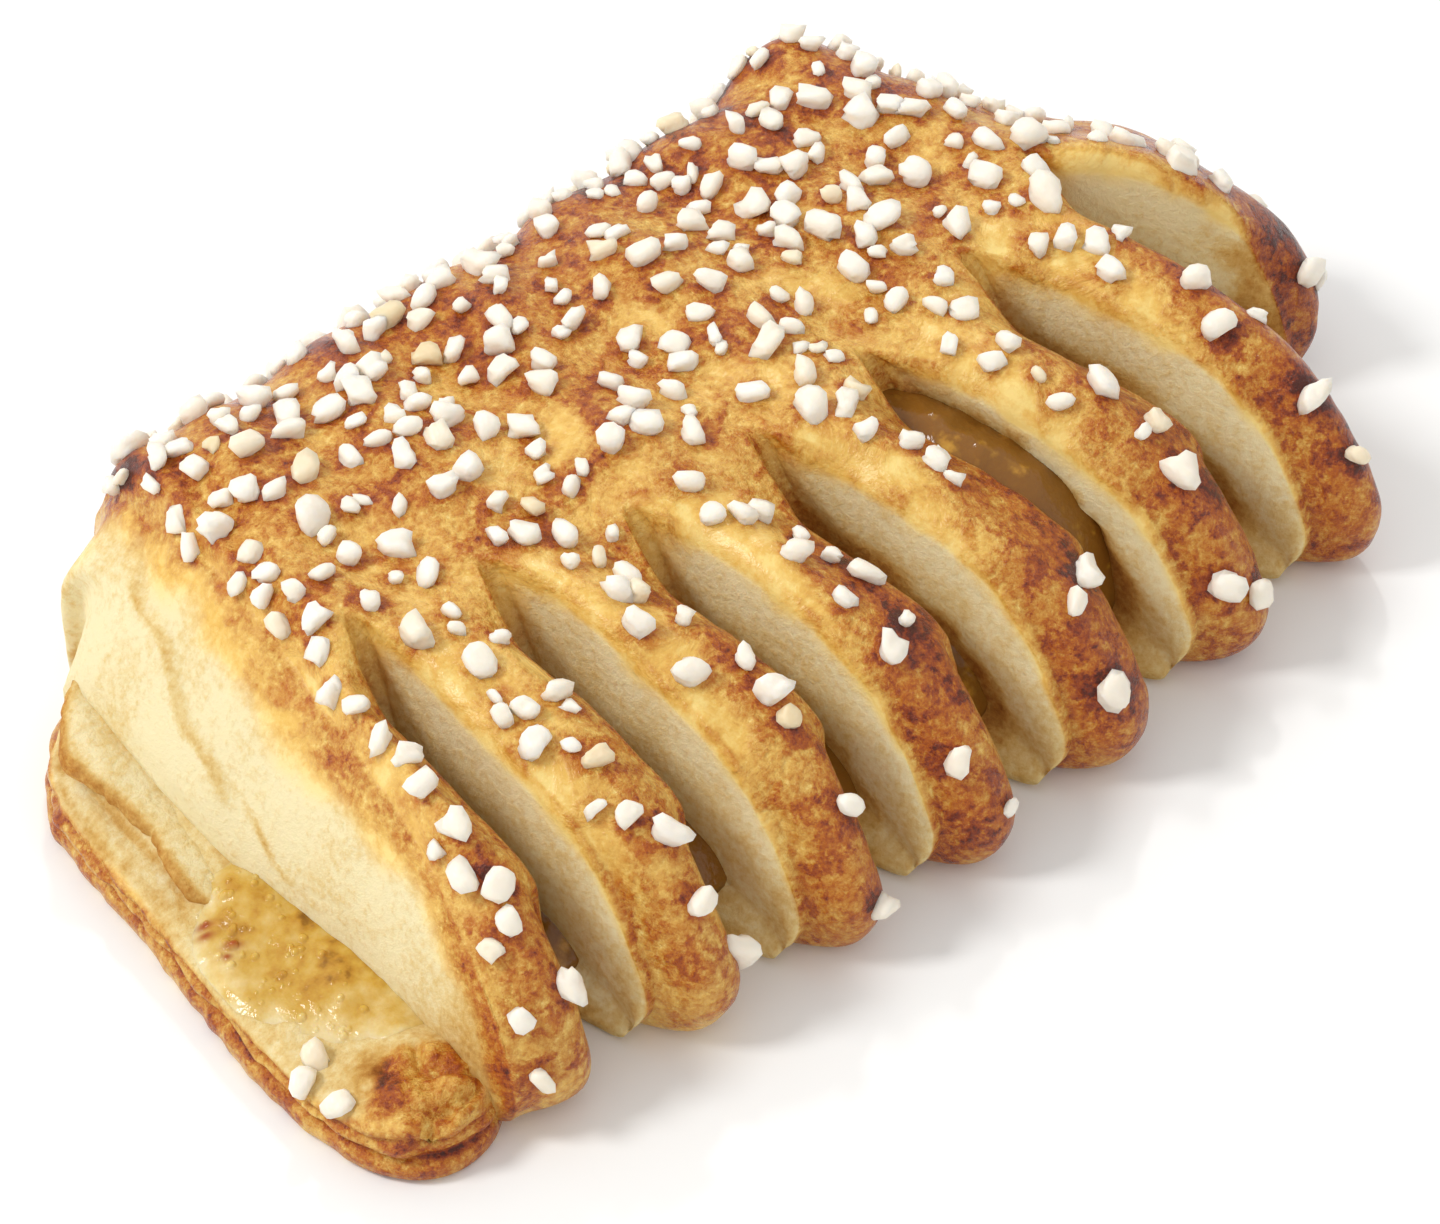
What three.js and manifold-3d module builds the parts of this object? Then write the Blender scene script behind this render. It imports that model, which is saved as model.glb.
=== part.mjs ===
// A bear claw pastry: one sheet of laminated dough folded over a fruit filling, slit from the front
// into eight fingers and bent so that they fan out, with pearl sugar baked onto its crust.
// Millimetres. The fold runs along X, the toes point towards -Y, and the flat underside is at z = 0.
import * as THREE from "three";
import { mergeVertices } from "three/addons/utils/BufferGeometryUtils.js";
import Module from "manifold-3d";

// Sizes of the whole.
const FINGERS = 8;
const HEIGHT = 29; // underside to crust, along the back of the pastry
const REACH = 75; // fold to toe tips, along a middle finger
const FOLD_Y = 3; // the folded back edge
const TOE_GAP = 6.5; // how far each slit runs in behind the toes
const FLOOR = 7; // height of the floor of a slit
const CROWN = 1.9; // how far the crust drops towards the edges of a finger
const ROUNDING = 4.8; // how far the corners of a toe are rounded off
const CLEARANCE = 0.3; // air between the dough and its filling
const MIDDLE = [4.91, -35.32]; // the middle of the whole, which becomes the origin

// The nine lines that bound the fingers: where each leaves the fold, where its slit starts, and where
// it meets the toes. The first and last are the two ends of the sheet.
const FOLD_X = [-43.5, -36, -27.5, -17, -6, 5.5, 17.5, 30, 43];
const SLIT_X = [-46.3, -41.6, -28.4, -14.3, 0.3, 15.1, 31, 45.2, 56];
const SLIT_Y = [-26, -29.2, -31.6, -34.9, -35.3, -33.7, -30.9, -24.8, -19];
const TOE_X = [-54.6, -40.8, -24.8, -9, 7.6, 26.4, 44.2, 60.8, 77];
const TOE_Y = [-67.5, -71.4, -73.6, -74.4, -74.4, -72.8, -70.8, -67, -35.5];
const SLIT_WIDTH = [0, 4.4, 6, 5.6, 7, 6.8, 6.4, 7, 0]; // between the crusts, at the toes
const LAST_SWING = 15; // how far the last finger swings clear of the line before it
const LAST_SHORT = 0.2; // share by which its inner side is shorter

// A cut through one finger from the fold over the crust to the toe, as shares of reach and height.
const SECTION = [
  [0.07, 0],
  [0, 0.13],
  [-0.012, 0.42],
  [0, 0.7],
  [0.045, 0.92],
  [0.13, 1],
  [0.3, 1.01],
  [0.45, 0.99],
  [0.57, 0.96],
  [0.68, 0.915],
  [0.78, 0.835],
  [0.87, 0.715],
  [0.945, 0.55],
  [0.99, 0.36],
  [1.005, 0.2],
  [0.985, 0.06],
  [0.94, 0],
];
const SECTION_ROWS = 27; // rows of faces over the crust
const UNDER_ROWS = 4; // and back along the flat underside
const CRUST_SHARES = [-1, -0.6, 0, 0.6, 1]; // points across the crust of one finger
const SLIT_SHARES = [-0.72, -0.3, 0.3, 0.72]; // points across one slit
const NEAR_SHARES = [0.15, 0.3, 0.45, 0.6, 0.8, 1]; // points down the near end of the sheet
const FAR_SHARES = [0.3, 0.65, 1]; // and down the far end

// The bottom sheet stands out past the near end. Its rim in plan, from the back round to the front.
const RIM = [
  [-44, 1],
  [-56, -4],
  [-62.4, -12],
  [-63.6, -22],
  [-64.8, -36],
  [-66.6, -48],
  [-67.4, -59],
  [-65.4, -65],
  [-60, -67],
  [-53, -64],
];
const BASE_THICKNESS = 4.6;

// The leaf of dough that curls out above the bottom sheet at the near back corner.
const LEAF = [
  [-46, -1],
  [-55.5, -7],
  [-61, -12.5],
  [-61, -18],
  [-58.5, -23],
  [-55, -29],
];

const GRAINS = 105; // pearl sugar grains on the crust
const GRAIN_SIZES = [2.3, 1.3]; // half the length of the largest and the smallest

const wasm = await Module();
wasm.setup();

const clamp = (x, low, high) => Math.min(high, Math.max(low, x));
const mix = (a, b, k) => a + (b - a) * k;
const smooth = (x) => {
  const c = clamp(x, 0, 1);
  return c * c * (3 - 2 * c);
};

const hump = (x, middle, width) => Math.exp(-(((x - middle) / width) ** 2));

// A smooth value between the entries of a list, straight beyond its ends.
function between(list, s) {
  const last = list.length - 1;
  const at = (i) => {
    if (i < 0) return list[0] + (list[1] - list[0]) * i;
    if (i > last) return list[last] + (list[last] - list[last - 1]) * (i - last);
    return list[i];
  };
  const i = Math.floor(s);
  const u = s - i;
  const [a, b, c, d] = [at(i - 1), at(i), at(i + 1), at(i + 2)];
  const square = 2 * a - 5 * b + 4 * c - d;
  const cube = 3 * b - a - 3 * c + d;
  return 0.5 * (2 * b + (c - a) * u + square * u ** 2 + cube * u ** 3);
}

// The three points in plan that bound line s has, with the share of its reach at its slit start.
function line(s) {
  const fold = [between(FOLD_X, s), FOLD_Y];
  const slit = [between(SLIT_X, s), between(SLIT_Y, s)];
  const toe = [between(TOE_X, s), between(TOE_Y, s)];
  const back = Math.hypot(slit[0] - fold[0], slit[1] - fold[1]);
  const front = Math.hypot(toe[0] - slit[0], toe[1] - slit[1]);
  return { fold, slit, toe, reach: back + front, opens: back / (back + front) };
}

// The point in plan at share f of line s: a parabola through the line's three points.
function plan(s, f) {
  const { fold, slit, toe, opens } = line(s);
  const a = ((f - opens) * (f - 1)) / opens;
  const b = (f * (f - 1)) / (opens * (opens - 1));
  const c = (f * (f - opens)) / (1 - opens);
  return [0, 1].map((i) => a * fold[i] + b * slit[i] + c * toe[i]);
}

// The unit vector across line s at share f, towards higher s.
function across(s, f) {
  const [a, b] = [plan(s, f - 0.01), plan(s, f + 0.01)];
  const length = Math.hypot(b[0] - a[0], b[1] - a[1]);
  return [(a[1] - b[1]) / length, (b[0] - a[0]) / length];
}

const sectionCurve = new THREE.SplineCurve(
  SECTION.map(([f, h]) => new THREE.Vector2(REACH * f, HEIGHT * h)),
);

// Row t of a section: 0 to 1 over the crust, 1 to 2 back under it.
function section(t) {
  if (t <= 1) {
    const p = sectionCurve.getPointAt(t);
    return [p.x / REACH, Math.max(p.y, 0) / HEIGHT];
  }
  return [mix(SECTION.at(-1)[0], SECTION[0][0], t - 1), 0];
}

// How far slit k has opened at share f, 0 to 1.
function opening(k, f) {
  if (k < 1 || k >= FINGERS) return 0;
  const { opens, reach } = line(k);
  return smooth(((f - opens) * reach - 1) / 15);
}

// Half the width of slit k at share f, on its side towards the last finger (1) or the first (-1).
// Where it is shut, a narrow strip of crust takes its place.
function halfWidth(k, f, side) {
  if (k < 1 || k >= FINGERS) return 0;
  const shut = 1.2;
  const { opens } = line(k);
  const swung = k === FINGERS - 1 && side > 0;
  const wide = swung ? (LAST_SWING * (f - opens)) / (1 - opens) : SLIT_WIDTH[k] / 2;
  return mix(shut, Math.max(shut, wide), opening(k, f));
}

// The last finger's rows are drawn back beyond its slit start, most on its inner side (inner = 1).
function drawnBack(f, inner) {
  return f - LAST_SHORT * inner * Math.max(0, f - 0.45) / 0.55;
}

// Height of the crust over share f of line s: the last finger lies lower than the rest.
function crustHeight(s, f) {
  const last = smooth((s - 6.7) / 1.2);
  const first = smooth((1.2 - s) / 1.2);
  const corner = 2.2 * smooth(s - 6.8) * smooth((0.25 - f) / 0.25);
  const ripple = 0.5 * Math.sin(5.1 * s + 7 * f) + 0.35 * Math.sin(2.3 * s - 17 * f + 1);
  return HEIGHT * (1 - last * (0.03 + 0.27 * clamp(f, 0, 1)) - first * 0.03) + corner + ripple;
}

// How far share q of a finger's crust is pulled back at row share f, to round off the toe's corners.
function toeShare(s, q, f, open) {
  return f - (ROUNDING / line(s).reach) * Math.abs(q) ** 2.5 * smooth((f - 0.8) / 0.2) * open;
}

// A point of the folded sheet: finger i, share q across its crust (-1 to 1), row t of the section.
function crustPoint(i, q, t) {
  const [row, h] = section(t);
  const s = i + (q + 1) / 2;
  const k = (q + 1) / 2;
  const open = mix(opening(i, row), opening(i + 1, row), k);
  const f = drawnBack(toeShare(s, q, row, open), i === FINGERS - 1 ? 1 - k : 0);
  const middle = plan(s, f);
  const left = across(i, f);
  const right = across(i + 1, f);
  const fromLeft = halfWidth(i, f, 1) * (1 - k);
  const fromRight = halfWidth(i + 1, f, -1) * k;
  const crown = CROWN * open * Math.abs(q) ** 2.5;
  return [
    middle[0] + left[0] * fromLeft - right[0] * fromRight,
    middle[1] + left[1] * fromLeft - right[1] * fromRight,
    h * (crustHeight(s, f) - crown),
  ];
}

// A point of slit k: u runs from -1 on one crust edge down to 0 on the floor and up to 1.
function slitPoint(k, u, t) {
  const [row, h] = section(t);
  const open = opening(k, row);
  const angle = (1 - Math.abs(u)) * (Math.PI / 2);
  const side = Math.sign(u) * mix(Math.abs(u), Math.cos(angle) ** 0.7, open);
  const down = open * Math.sin(angle) ** 0.8;
  const { reach } = line(k);
  const f = drawnBack(toeShare(k, 1, row, open), k === FINGERS - 1 ? (1 + side) / 2 : 0);
  const inward = ((TOE_GAP - ROUNDING) / reach) * smooth((row - 0.55) / 0.45) * down;
  const p = plan(k, f - inward);
  const n = across(k, f);
  const w = halfWidth(k, f, side) * side - 0.8 * down;
  const top = h * (crustHeight(k, f) - CROWN * open);
  return [p[0] + n[0] * w, p[1] + n[1] * w, mix(top, h * FLOOR, down)];
}

// A point of the cut end of the sheet on line s, share w of the way down it, standing out by run(f)
// at its foot, which is foot(f) high.
function endPoint(s, w, t, run, foot) {
  const [row, h] = section(t);
  const f = mix(row, mix(0.12, 0.93, clamp(row, 0, 1)), w);
  const p = plan(s, f);
  const n = across(s, f);
  const out = run(f, w) * (s > 1 ? 1 : -1);
  return [p[0] + n[0] * out, p[1] + n[1] * out, h * mix(crustHeight(s, row), foot(f), w)];
}

// A closed solid from rings of points, each ring once round a section, with a fan over each end.
function skin(rings) {
  const rows = rings[0].length;
  const points = rings.flat();
  const faces = [];
  for (let c = 0; c + 1 < rings.length; c++) {
    for (let r = 0; r < rows; r++) {
      const [a, b] = [c * rows + r, c * rows + ((r + 1) % rows)];
      faces.push(a, b, a + rows, b, b + rows, a + rows);
    }
  }
  for (const [c, turned] of [
    [0, true],
    [rings.length - 1, false],
  ]) {
    const middle = [0, 1, 2].map((i) => rings[c].reduce((sum, p) => sum + p[i], 0) / rows);
    const hub = points.push(middle) - 1;
    for (let r = 0; r < rows; r++) {
      const [a, b] = [c * rows + r, c * rows + ((r + 1) % rows)];
      faces.push(...(turned ? [hub, b, a] : [hub, a, b]));
    }
  }
  return solid(points, faces);
}

// A manifold-3d solid from points and triangles.
function solid(points, faces) {
  const geometry = new THREE.BufferGeometry();
  geometry.setAttribute("position", new THREE.Float32BufferAttribute(points.flat(), 3));
  geometry.setIndex(faces);
  return solidOf(geometry);
}

// The same from a geometry whose corners are still split by face.
function solidOf(geometry) {
  const bare = geometry.clone();
  bare.deleteAttribute("normal");
  bare.deleteAttribute("uv");
  const merged = mergeVertices(bare, 1e-4);
  const mesh = new wasm.Mesh({
    numProp: 3,
    vertProperties: new Float32Array(merged.attributes.position.array),
    triVerts: new Uint32Array(merged.index.array),
  });
  return new wasm.Manifold(mesh);
}

// The folded and slit sheet.
function sheet() {
  const ts = [];
  for (let r = 0; r < SECTION_ROWS; r++) ts.push(r / SECTION_ROWS);
  for (let r = 0; r < UNDER_ROWS; r++) ts.push(1 + r / UNDER_ROWS);
  const ring = (point) => ts.map(point);
  const nearRun = (f, w) => {
    const slope = mix(11, 2, smooth((f - 0.25) / 0.75)) * w ** 0.8;
    const bulge = 2.6 * hump(f, 0.06, 0.09) * hump(w, 0.42, 0.2);
    const fade = 4 * w * (1 - w) * (1 - smooth(f / 0.8));
    const leaves = 0.7 * fade * Math.sin(2 * Math.PI * (2 * w + 0.6 * f));
    return slope + bulge + leaves;
  };
  const nearFoot = (f) => mix(13, 6.5, smooth((f - 0.1) / 0.6));
  const rings = NEAR_SHARES.toReversed().map((w) => ring((t) => endPoint(0, w, t, nearRun, nearFoot)));
  for (let i = 0; i < FINGERS; i++) {
    for (const q of CRUST_SHARES) rings.push(ring((t) => crustPoint(i, q, t)));
    if (i + 1 < FINGERS) for (const u of SLIT_SHARES) rings.push(ring((t) => slitPoint(i + 1, u, t)));
  }
  const farRun = (f, w) => 3 * w;
  const farFoot = () => FLOOR;
  for (const w of FAR_SHARES) rings.push(ring((t) => endPoint(FINGERS, w, t, farRun, farFoot)));
  return skin(rings);
}

// A closed slab on a grid: place(a, b) is its plan, with heights top(a, b) and bottom(a, b).
function slab(place, top, bottom, columns, rows) {
  const points = [];
  const faces = [];
  const index = (side, a, b) => side * (columns + 1) * (rows + 1) + a * (rows + 1) + b;
  for (const height of [bottom, top]) {
    for (let a = 0; a <= columns; a++) {
      for (let b = 0; b <= rows; b++) {
        const [x, y] = place(a / columns, b / rows);
        points.push([x, y, height(a / columns, b / rows)]);
      }
    }
  }
  const quad = (p, q, r, s) => faces.push(p, q, r, p, r, s);
  for (let a = 0; a < columns; a++) {
    for (let b = 0; b < rows; b++) {
      quad(index(1, a, b), index(1, a + 1, b), index(1, a + 1, b + 1), index(1, a, b + 1));
      quad(index(0, a, b), index(0, a, b + 1), index(0, a + 1, b + 1), index(0, a + 1, b));
    }
    quad(index(0, a, 0), index(0, a + 1, 0), index(1, a + 1, 0), index(1, a, 0));
    quad(index(0, a + 1, rows), index(0, a, rows), index(1, a, rows), index(1, a + 1, rows));
  }
  for (let b = 0; b < rows; b++) {
    quad(index(0, columns, b), index(0, columns, b + 1), index(1, columns, b + 1), index(1, columns, b));
    quad(index(0, 0, b + 1), index(0, 0, b), index(1, 0, b), index(1, 0, b + 1));
  }
  return solid(points, faces);
}

// A smooth plan curve through a list of points.
function route(list) {
  const curve = new THREE.SplineCurve(list.map(([x, y]) => new THREE.Vector2(x, y)));
  return (share) => {
    const { x, y } = curve.getPointAt(share);
    return [x, y];
  };
}

// The bottom sheet where it stands out at the near end. b runs along the rim, a from inside to the rim.
function apron() {
  const rim = route(RIM);
  const place = (a, b) => {
    const [x, y] = rim(b);
    const inside = [mix(-40, -48, b), mix(-6, -60, b)];
    return [mix(inside[0], x, a), mix(inside[1], y, a)];
  };
  const top = (a, b) => {
    const edge = Math.sqrt(clamp((1 - a) / 0.18, 0, 1));
    const lift = 2.6 * (1 - smooth(b / 0.4));
    const knob = 6 * hump(b, 0.86, 0.07) * smooth((a - 0.3) / 0.4);
    return mix(2.4, BASE_THICKNESS + lift + knob, edge);
  };
  return slab(place, top, () => 0, 8, 16);
}

// The curled leaf between the bottom sheet and the folded sheet.
function leaf() {
  const rim = route(LEAF);
  const place = (a, b) => {
    const [x, y] = rim(b);
    return [mix(-42, x, a), mix(mix(-5, -26, b), y, a)];
  };
  const edge = (a) => Math.sqrt(clamp((1 - a) / 0.2, 0, 1));
  const top = (a, b) => mix(12.2, 8.2, b) + 0.9 * (edge(a) - 1);
  const bottom = (a, b) => mix(8.6, 5, b) - 0.9 * (edge(a) - 1);
  return slab(place, top, bottom, 6, 10);
}

// The filling between the bottom sheet and the fingers. It wells out over the bottom sheet at the near
// end and up into the widest slit. grown thickens it on every side.
function filling(grown) {
  const shareOf = (b) => mix(0.15 - grown / REACH, 0.84 + grown / REACH, b);
  const lineOf = (a, f) => {
    const near = -1.15 - 0.55 * hump(f, 0.62, 0.2) - grown / 9;
    return mix(7.6 + grown / 12, near, a);
  };
  const place = (a, b) => {
    const f = shareOf(b);
    const s = lineOf(a, f);
    if (s > 0) return plan(s, f);
    const [x, y] = plan(0, f);
    return [x + 9 * s, y];
  };
  const domed = (b) => Math.sqrt(clamp(1 - (2 * b - 1) ** 4, 0.02, 1));
  const top = (a, b) => {
    const s = lineOf(a, shareOf(b));
    const full = mix(7, 13, smooth(s / 2)) + 6.5 * hump(s, 5, 0.9) - 4 * smooth(s - 6.6);
    const spread = mix(5.7, full, smooth((s + 1.6) / 1.6));
    return mix(5.5, spread, domed(b)) + grown;
  };
  return slab(place, top, () => BASE_THICKNESS + CLEARANCE - grown, 26, 8);
}

// A fixed draw between 0 and 1 for number j of grain n.
function draw(n, j) {
  const x = Math.sin(n * 12.9898 + j * 78.233 + 4.1) * 43758.5453;
  return x - Math.floor(x);
}

// One angular grain of sugar of half length r, standing on point with its flat side along normal.
function grain(n, r, point, normal) {
  const geometry = new THREE.IcosahedronGeometry(r, 0);
  geometry.deleteAttribute("normal");
  geometry.deleteAttribute("uv");
  const shape = mergeVertices(geometry, 1e-3);
  const at = shape.attributes.position;
  for (let v = 0; v < at.count; v++) {
    const size = mix(0.8, 1.1, draw(n, 10 + v));
    at.setXYZ(v, at.getX(v) * size, at.getY(v) * size * 0.82, at.getZ(v) * size * 0.72);
  }
  shape.rotateZ(2 * Math.PI * draw(n, 7));
  shape.applyQuaternion(new THREE.Quaternion().setFromUnitVectors(new THREE.Vector3(0, 0, 1), normal));
  shape.translate(...point.clone().addScaledVector(normal, 0.35 * r).toArray());
  return solidOf(shape);
}

// The sugar: thick over the back of the pastry, thinner along the fingers, the largest grains first.
function sugar() {
  const spots = [];
  const grains = [];
  for (let n = 0; spots.length < GRAINS && n < 6000; n++) {
    const t = mix(0.2, 0.93, draw(n, 1));
    const [f] = section(t);
    const onFinger = smooth((f - 0.42) / 0.1);
    if (draw(n, 2) > mix(1, 0.45, onFinger)) continue;
    const i = Math.floor(FINGERS * draw(n, 3));
    const q = (2 * draw(n, 4) - 1) * mix(1.1, 0.7, onFinger);
    const point = new THREE.Vector3(...crustPoint(i, q, t));
    const r = mix(...GRAIN_SIZES, spots.length / GRAINS);
    if (spots.some((s) => s.point.distanceTo(point) < 1.15 * (s.r + r))) continue;
    const alongCrust = new THREE.Vector3(...crustPoint(i, q, t + 0.01)).sub(point);
    const acrossCrust = new THREE.Vector3(...crustPoint(i, q + 0.05, t)).sub(point);
    const normal = acrossCrust.cross(alongCrust).normalize().negate();
    spots.push({ point, r });
    grains.push(grain(n, r, point, normal));
  }
  return grains;
}

const home = (body) => body.translate([-MIDDLE[0], -MIDDLE[1], 0]);

// The largest piece of a body, without any scrap that a cut leaves loose.
function largest(body) {
  return body.decompose().reduce((a, b) => (b.volume() > a.volume() ? b : a));
}

const bare = largest(wasm.Manifold.union([sheet(), apron(), leaf()]).subtract(filling(CLEARANCE)));
const dough = largest(wasm.Manifold.union([bare, ...sugar()]));
const fruit = filling(0);

// A named mesh of a body.
function meshOf(name, body, material) {
  const { numProp, vertProperties, triVerts } = body.getMesh();
  const geometry = new THREE.BufferGeometry();
  geometry.setAttribute("position", new THREE.BufferAttribute(new Float32Array(vertProperties), numProp));
  geometry.setIndex(new THREE.BufferAttribute(new Uint32Array(triVerts), 1));
  geometry.computeVertexNormals();
  const mesh = new THREE.Mesh(geometry, material);
  mesh.name = name;
  return mesh;
}

const crust = new THREE.MeshStandardMaterial({ color: 0xcd8c3c, roughness: 0.45, metalness: 0 });
const gel = new THREE.MeshStandardMaterial({ color: 0xc9a13c, roughness: 0.25, metalness: 0 });
const pastry = new THREE.Group();
pastry.add(meshOf("dough", home(dough), crust), meshOf("filling", home(fruit), gel));
export default pastry;
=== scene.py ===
"""A bear claw pastry: laminated dough folded over a fruit filling and slit into fingers that fan out.

The shapes are worked out in millimetres from the driving sizes of the solids, with slightly narrower
slits and flatter fingers, in a plan frame whose x runs along the fold and whose toes point to -y. They
go into the meshes in metres round MIDDLE.
"""

import math

import bpy
import numpy as np
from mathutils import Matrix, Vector


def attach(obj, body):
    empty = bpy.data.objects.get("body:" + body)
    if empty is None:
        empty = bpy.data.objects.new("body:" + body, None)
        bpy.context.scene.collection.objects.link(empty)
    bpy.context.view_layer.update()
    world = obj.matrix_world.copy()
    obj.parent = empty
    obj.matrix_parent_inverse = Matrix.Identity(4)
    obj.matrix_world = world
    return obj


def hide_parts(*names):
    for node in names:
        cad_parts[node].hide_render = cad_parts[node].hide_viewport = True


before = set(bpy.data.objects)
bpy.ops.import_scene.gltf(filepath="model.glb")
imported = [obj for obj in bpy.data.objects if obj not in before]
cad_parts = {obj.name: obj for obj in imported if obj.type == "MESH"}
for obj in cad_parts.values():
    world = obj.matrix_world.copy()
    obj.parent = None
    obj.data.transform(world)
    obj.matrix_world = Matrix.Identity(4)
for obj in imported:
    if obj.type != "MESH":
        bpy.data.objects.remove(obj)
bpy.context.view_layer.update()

MM = 0.001
ROOT = "root"

# ------------------------------------------------------------------ sizes of the folded sheet
FINGERS = 8
HEIGHT = 29.0  # underside to crust, along the back
REACH = 75.0  # fold to toe tips
FOLD_Y = 3.0  # the folded back edge
TOE_GAP = 6.5  # how far each slit runs in behind the toes
FLOOR = 7.0  # height of the floor of a slit
ROUNDING = 4.8  # how far the corners of a toe are rounded off
SLANT = 2.8  # how much farther back the far corner of a toe lies
CROWN = 1.5  # how far the crust drops from the middle of a finger to the start of its lips
LEAN = 1.2  # how much higher its near lip lies than that, and how much lower its far lip
LIP = 2.3  # radius of the rounded lip along a slit
HALF_FINGER = 5.0  # half the width of a finger, for the slope of its crown
OPENS_OVER = 10.0  # length over which a slit opens
SHUT = 0.8  # half the width of the strip of crust over a slit that is still shut
MIDDLE = np.array([4.91, -35.32, 0.0])  # the middle of the whole, which becomes the origin

# The nine lines that bound the fingers: on the fold, at their slit starts and at the toes.
FOLD_X = [-43.5, -36, -27.5, -17, -6, 5.5, 17.5, 30, 43]
SLIT_X = [-46.3, -41.6, -28.4, -14.3, 0.3, 15.1, 31, 45.2, 56]
SLIT_Y = [-26, -29.2, -31.6, -34.9, -35.3, -33.7, -30.9, -24.8, -19]
TOE_X = [-54.6, -40.8, -24.8, -9, 7.6, 26.4, 44.2, 60.8, 77]
TOE_Y = [-67.5, -71.4, -73.6, -74.4, -74.4, -72.8, -70.8, -67, -35.5]
SLIT_WIDTH = [0, 4.0, 4.8, 4.6, 5.4, 5.6, 5.6, 6.4, 0]  # between the crusts, at the toes
LAST_SWING = 15.0  # how far the last finger swings clear of the line before it
LAST_SHORT = 0.2  # share by which its inner side is shorter
LAST_OUTER = 0.075  # and its outer side

# A cut through a finger from the fold over the crust to the toe, as shares of reach and height.
SECTION = [[0.07, 0], [0, 0.13], [-0.012, 0.42], [0, 0.7], [0.045, 0.92], [0.13, 1], [0.3, 1.01]]
SECTION += [[0.45, 0.99], [0.57, 0.96], [0.68, 0.915], [0.78, 0.835], [0.87, 0.715], [0.945, 0.55]]
SECTION += [[0.99, 0.36], [1.005, 0.2], [0.985, 0.06], [0.94, 0]]
SECTION = np.array(SECTION)

# Grid of the sheet: rows round a section, and columns along it.
CRUST_ROWS = 232
UNDER_ROWS = 8
CRUST_COLUMNS = 18
LIP_COLUMNS = 5
WALL_COLUMNS = 7
FLOOR_COLUMNS = 3
NEAR_COLUMNS = 44
FAR_COLUMNS = 10

# The rim in plan of the bottom sheet where it stands out past the near end, from the back round to the
# front, and the line under the near face that its bed starts from.
RIM = [[-44, 1], [-55, -3.5], [-61.8, -10.5], [-63.6, -17.5], [-64.4, -26], [-66, -36], [-67.2, -46]]
RIM += [[-67.6, -54.5], [-66.7, -60.5], [-64.7, -64.8], [-61.3, -67], [-56.5, -66.6], [-52, -63.5]]
BED_START = np.array([[-40.0, -6.0], [-48.0, -60.0]])
BED_CREASE = (10.8, 5.4)  # height of that line at the back and at the front
BASE_THICKNESS = 4.6

# The leaf of dough that curls out above the bottom sheet at the near back corner: its edge in plan, the
# line that it grows from, and at its back and front end the height of its top and its thickness.
LEAF = [[-47, -2], [-55.5, -6.8], [-60, -11.4], [-60.5, -15], [-59.6, -20], [-60.2, -26], [-60.5, -31]]
LEAF += [[-59, -37]]
LEAF_START = np.array([[-42.0, -5.0], [-46.0, -36.0]])
LEAF_TOPS = (12.2, 5.2)
LEAF_THICKNESS = (3.4, 1.2)
LEAF_CURL = 0.8  # how far its edge curls up

CAD_GRAINS = 105  # pearl sugar grains that the solids have too
MORE_GRAINS = 275  # and the further ones that are only here
SUGAR_DRAWS = 5000  # places that are tried in turn
CAD_SIZES = (2.3, 1.3)  # half the length of the largest and the smallest of the solids' grains
TRUE_SIZES = (1.15, 1.8)  # and the range of their half lengths here
MORE_SIZES = (1.55, 0.75)  # and those of the further ones, from the first to the last
SUNK = 0.35  # how far up from the crust a grain's middle lies, as a share of its half length


# ------------------------------------------------------------------ arithmetic on whole arrays
def mix(a, b, k):
    """The value share k of the way from a to b."""
    return a + (b - a) * k


def smooth(x):
    """0 below 0, 1 above 1, and an even S between: 3x^2 - 2x^3."""
    c = np.clip(x, 0, 1)
    return c * c * (3 - 2 * c)


def hump(x, middle, width):
    """A bell curve: e to the minus square of the distance from middle over width."""
    return np.exp(-(((x - middle) / width) ** 2))


def unit(vectors):
    """The vectors at length 1."""
    return vectors / np.linalg.norm(vectors, axis=-1, keepdims=True)


def cubic(a, b, c, d, u):
    """The Catmull-Rom cubic from b to c, with a and d as its outer neighbours."""
    return 0.5 * (2 * b + (c - a) * u + (2 * a - 5 * b + 4 * c - d) * u**2 + (3 * b - a - 3 * c + d) * u**3)


def between(values, s):
    """A smooth value between the entries of a list, straight beyond its ends."""
    v = np.asarray(values, float)
    first, last = v[1] - v[0], v[-1] - v[-2]
    v = np.concatenate([v[0] + first * np.array([-2, -1]), v, v[-1] + last * np.array([1, 2, 3])])
    s = np.clip(np.asarray(s, float), -1, len(values))
    i = np.floor(s).astype(int)
    return cubic(v[i + 1], v[i + 2], v[i + 3], v[i + 4], s - i)


def spaced(points, count_per_span=40):
    """A Catmull-Rom curve through points, as many small steps with the length run at each."""
    p = np.vstack([points[:1], points, points[-1:]])
    u = np.linspace(0, 1, count_per_span, endpoint=False)[:, None]
    spans = [cubic(*p[i : i + 4], u) for i in range(len(points) - 1)]
    steps = np.vstack(spans + [points[-1:]])
    run = np.concatenate([[0], np.cumsum(np.hypot(*np.diff(steps, axis=0).T))])
    return steps, run / run[-1]


def along(points, share):
    """The point at a share of the length of the smooth curve through points."""
    steps, run = spaced(np.asarray(points, float))
    return np.stack([np.interp(share, run, steps[:, axis]) for axis in range(2)], -1)


def draw(n, j):
    """A fixed draw between 0 and 1 for number j of thing n: the fraction of a large sine."""
    x = np.sin(n * 12.9898 + j * 78.233 + 4.1) * 43758.5453
    return x - np.floor(x)


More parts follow.
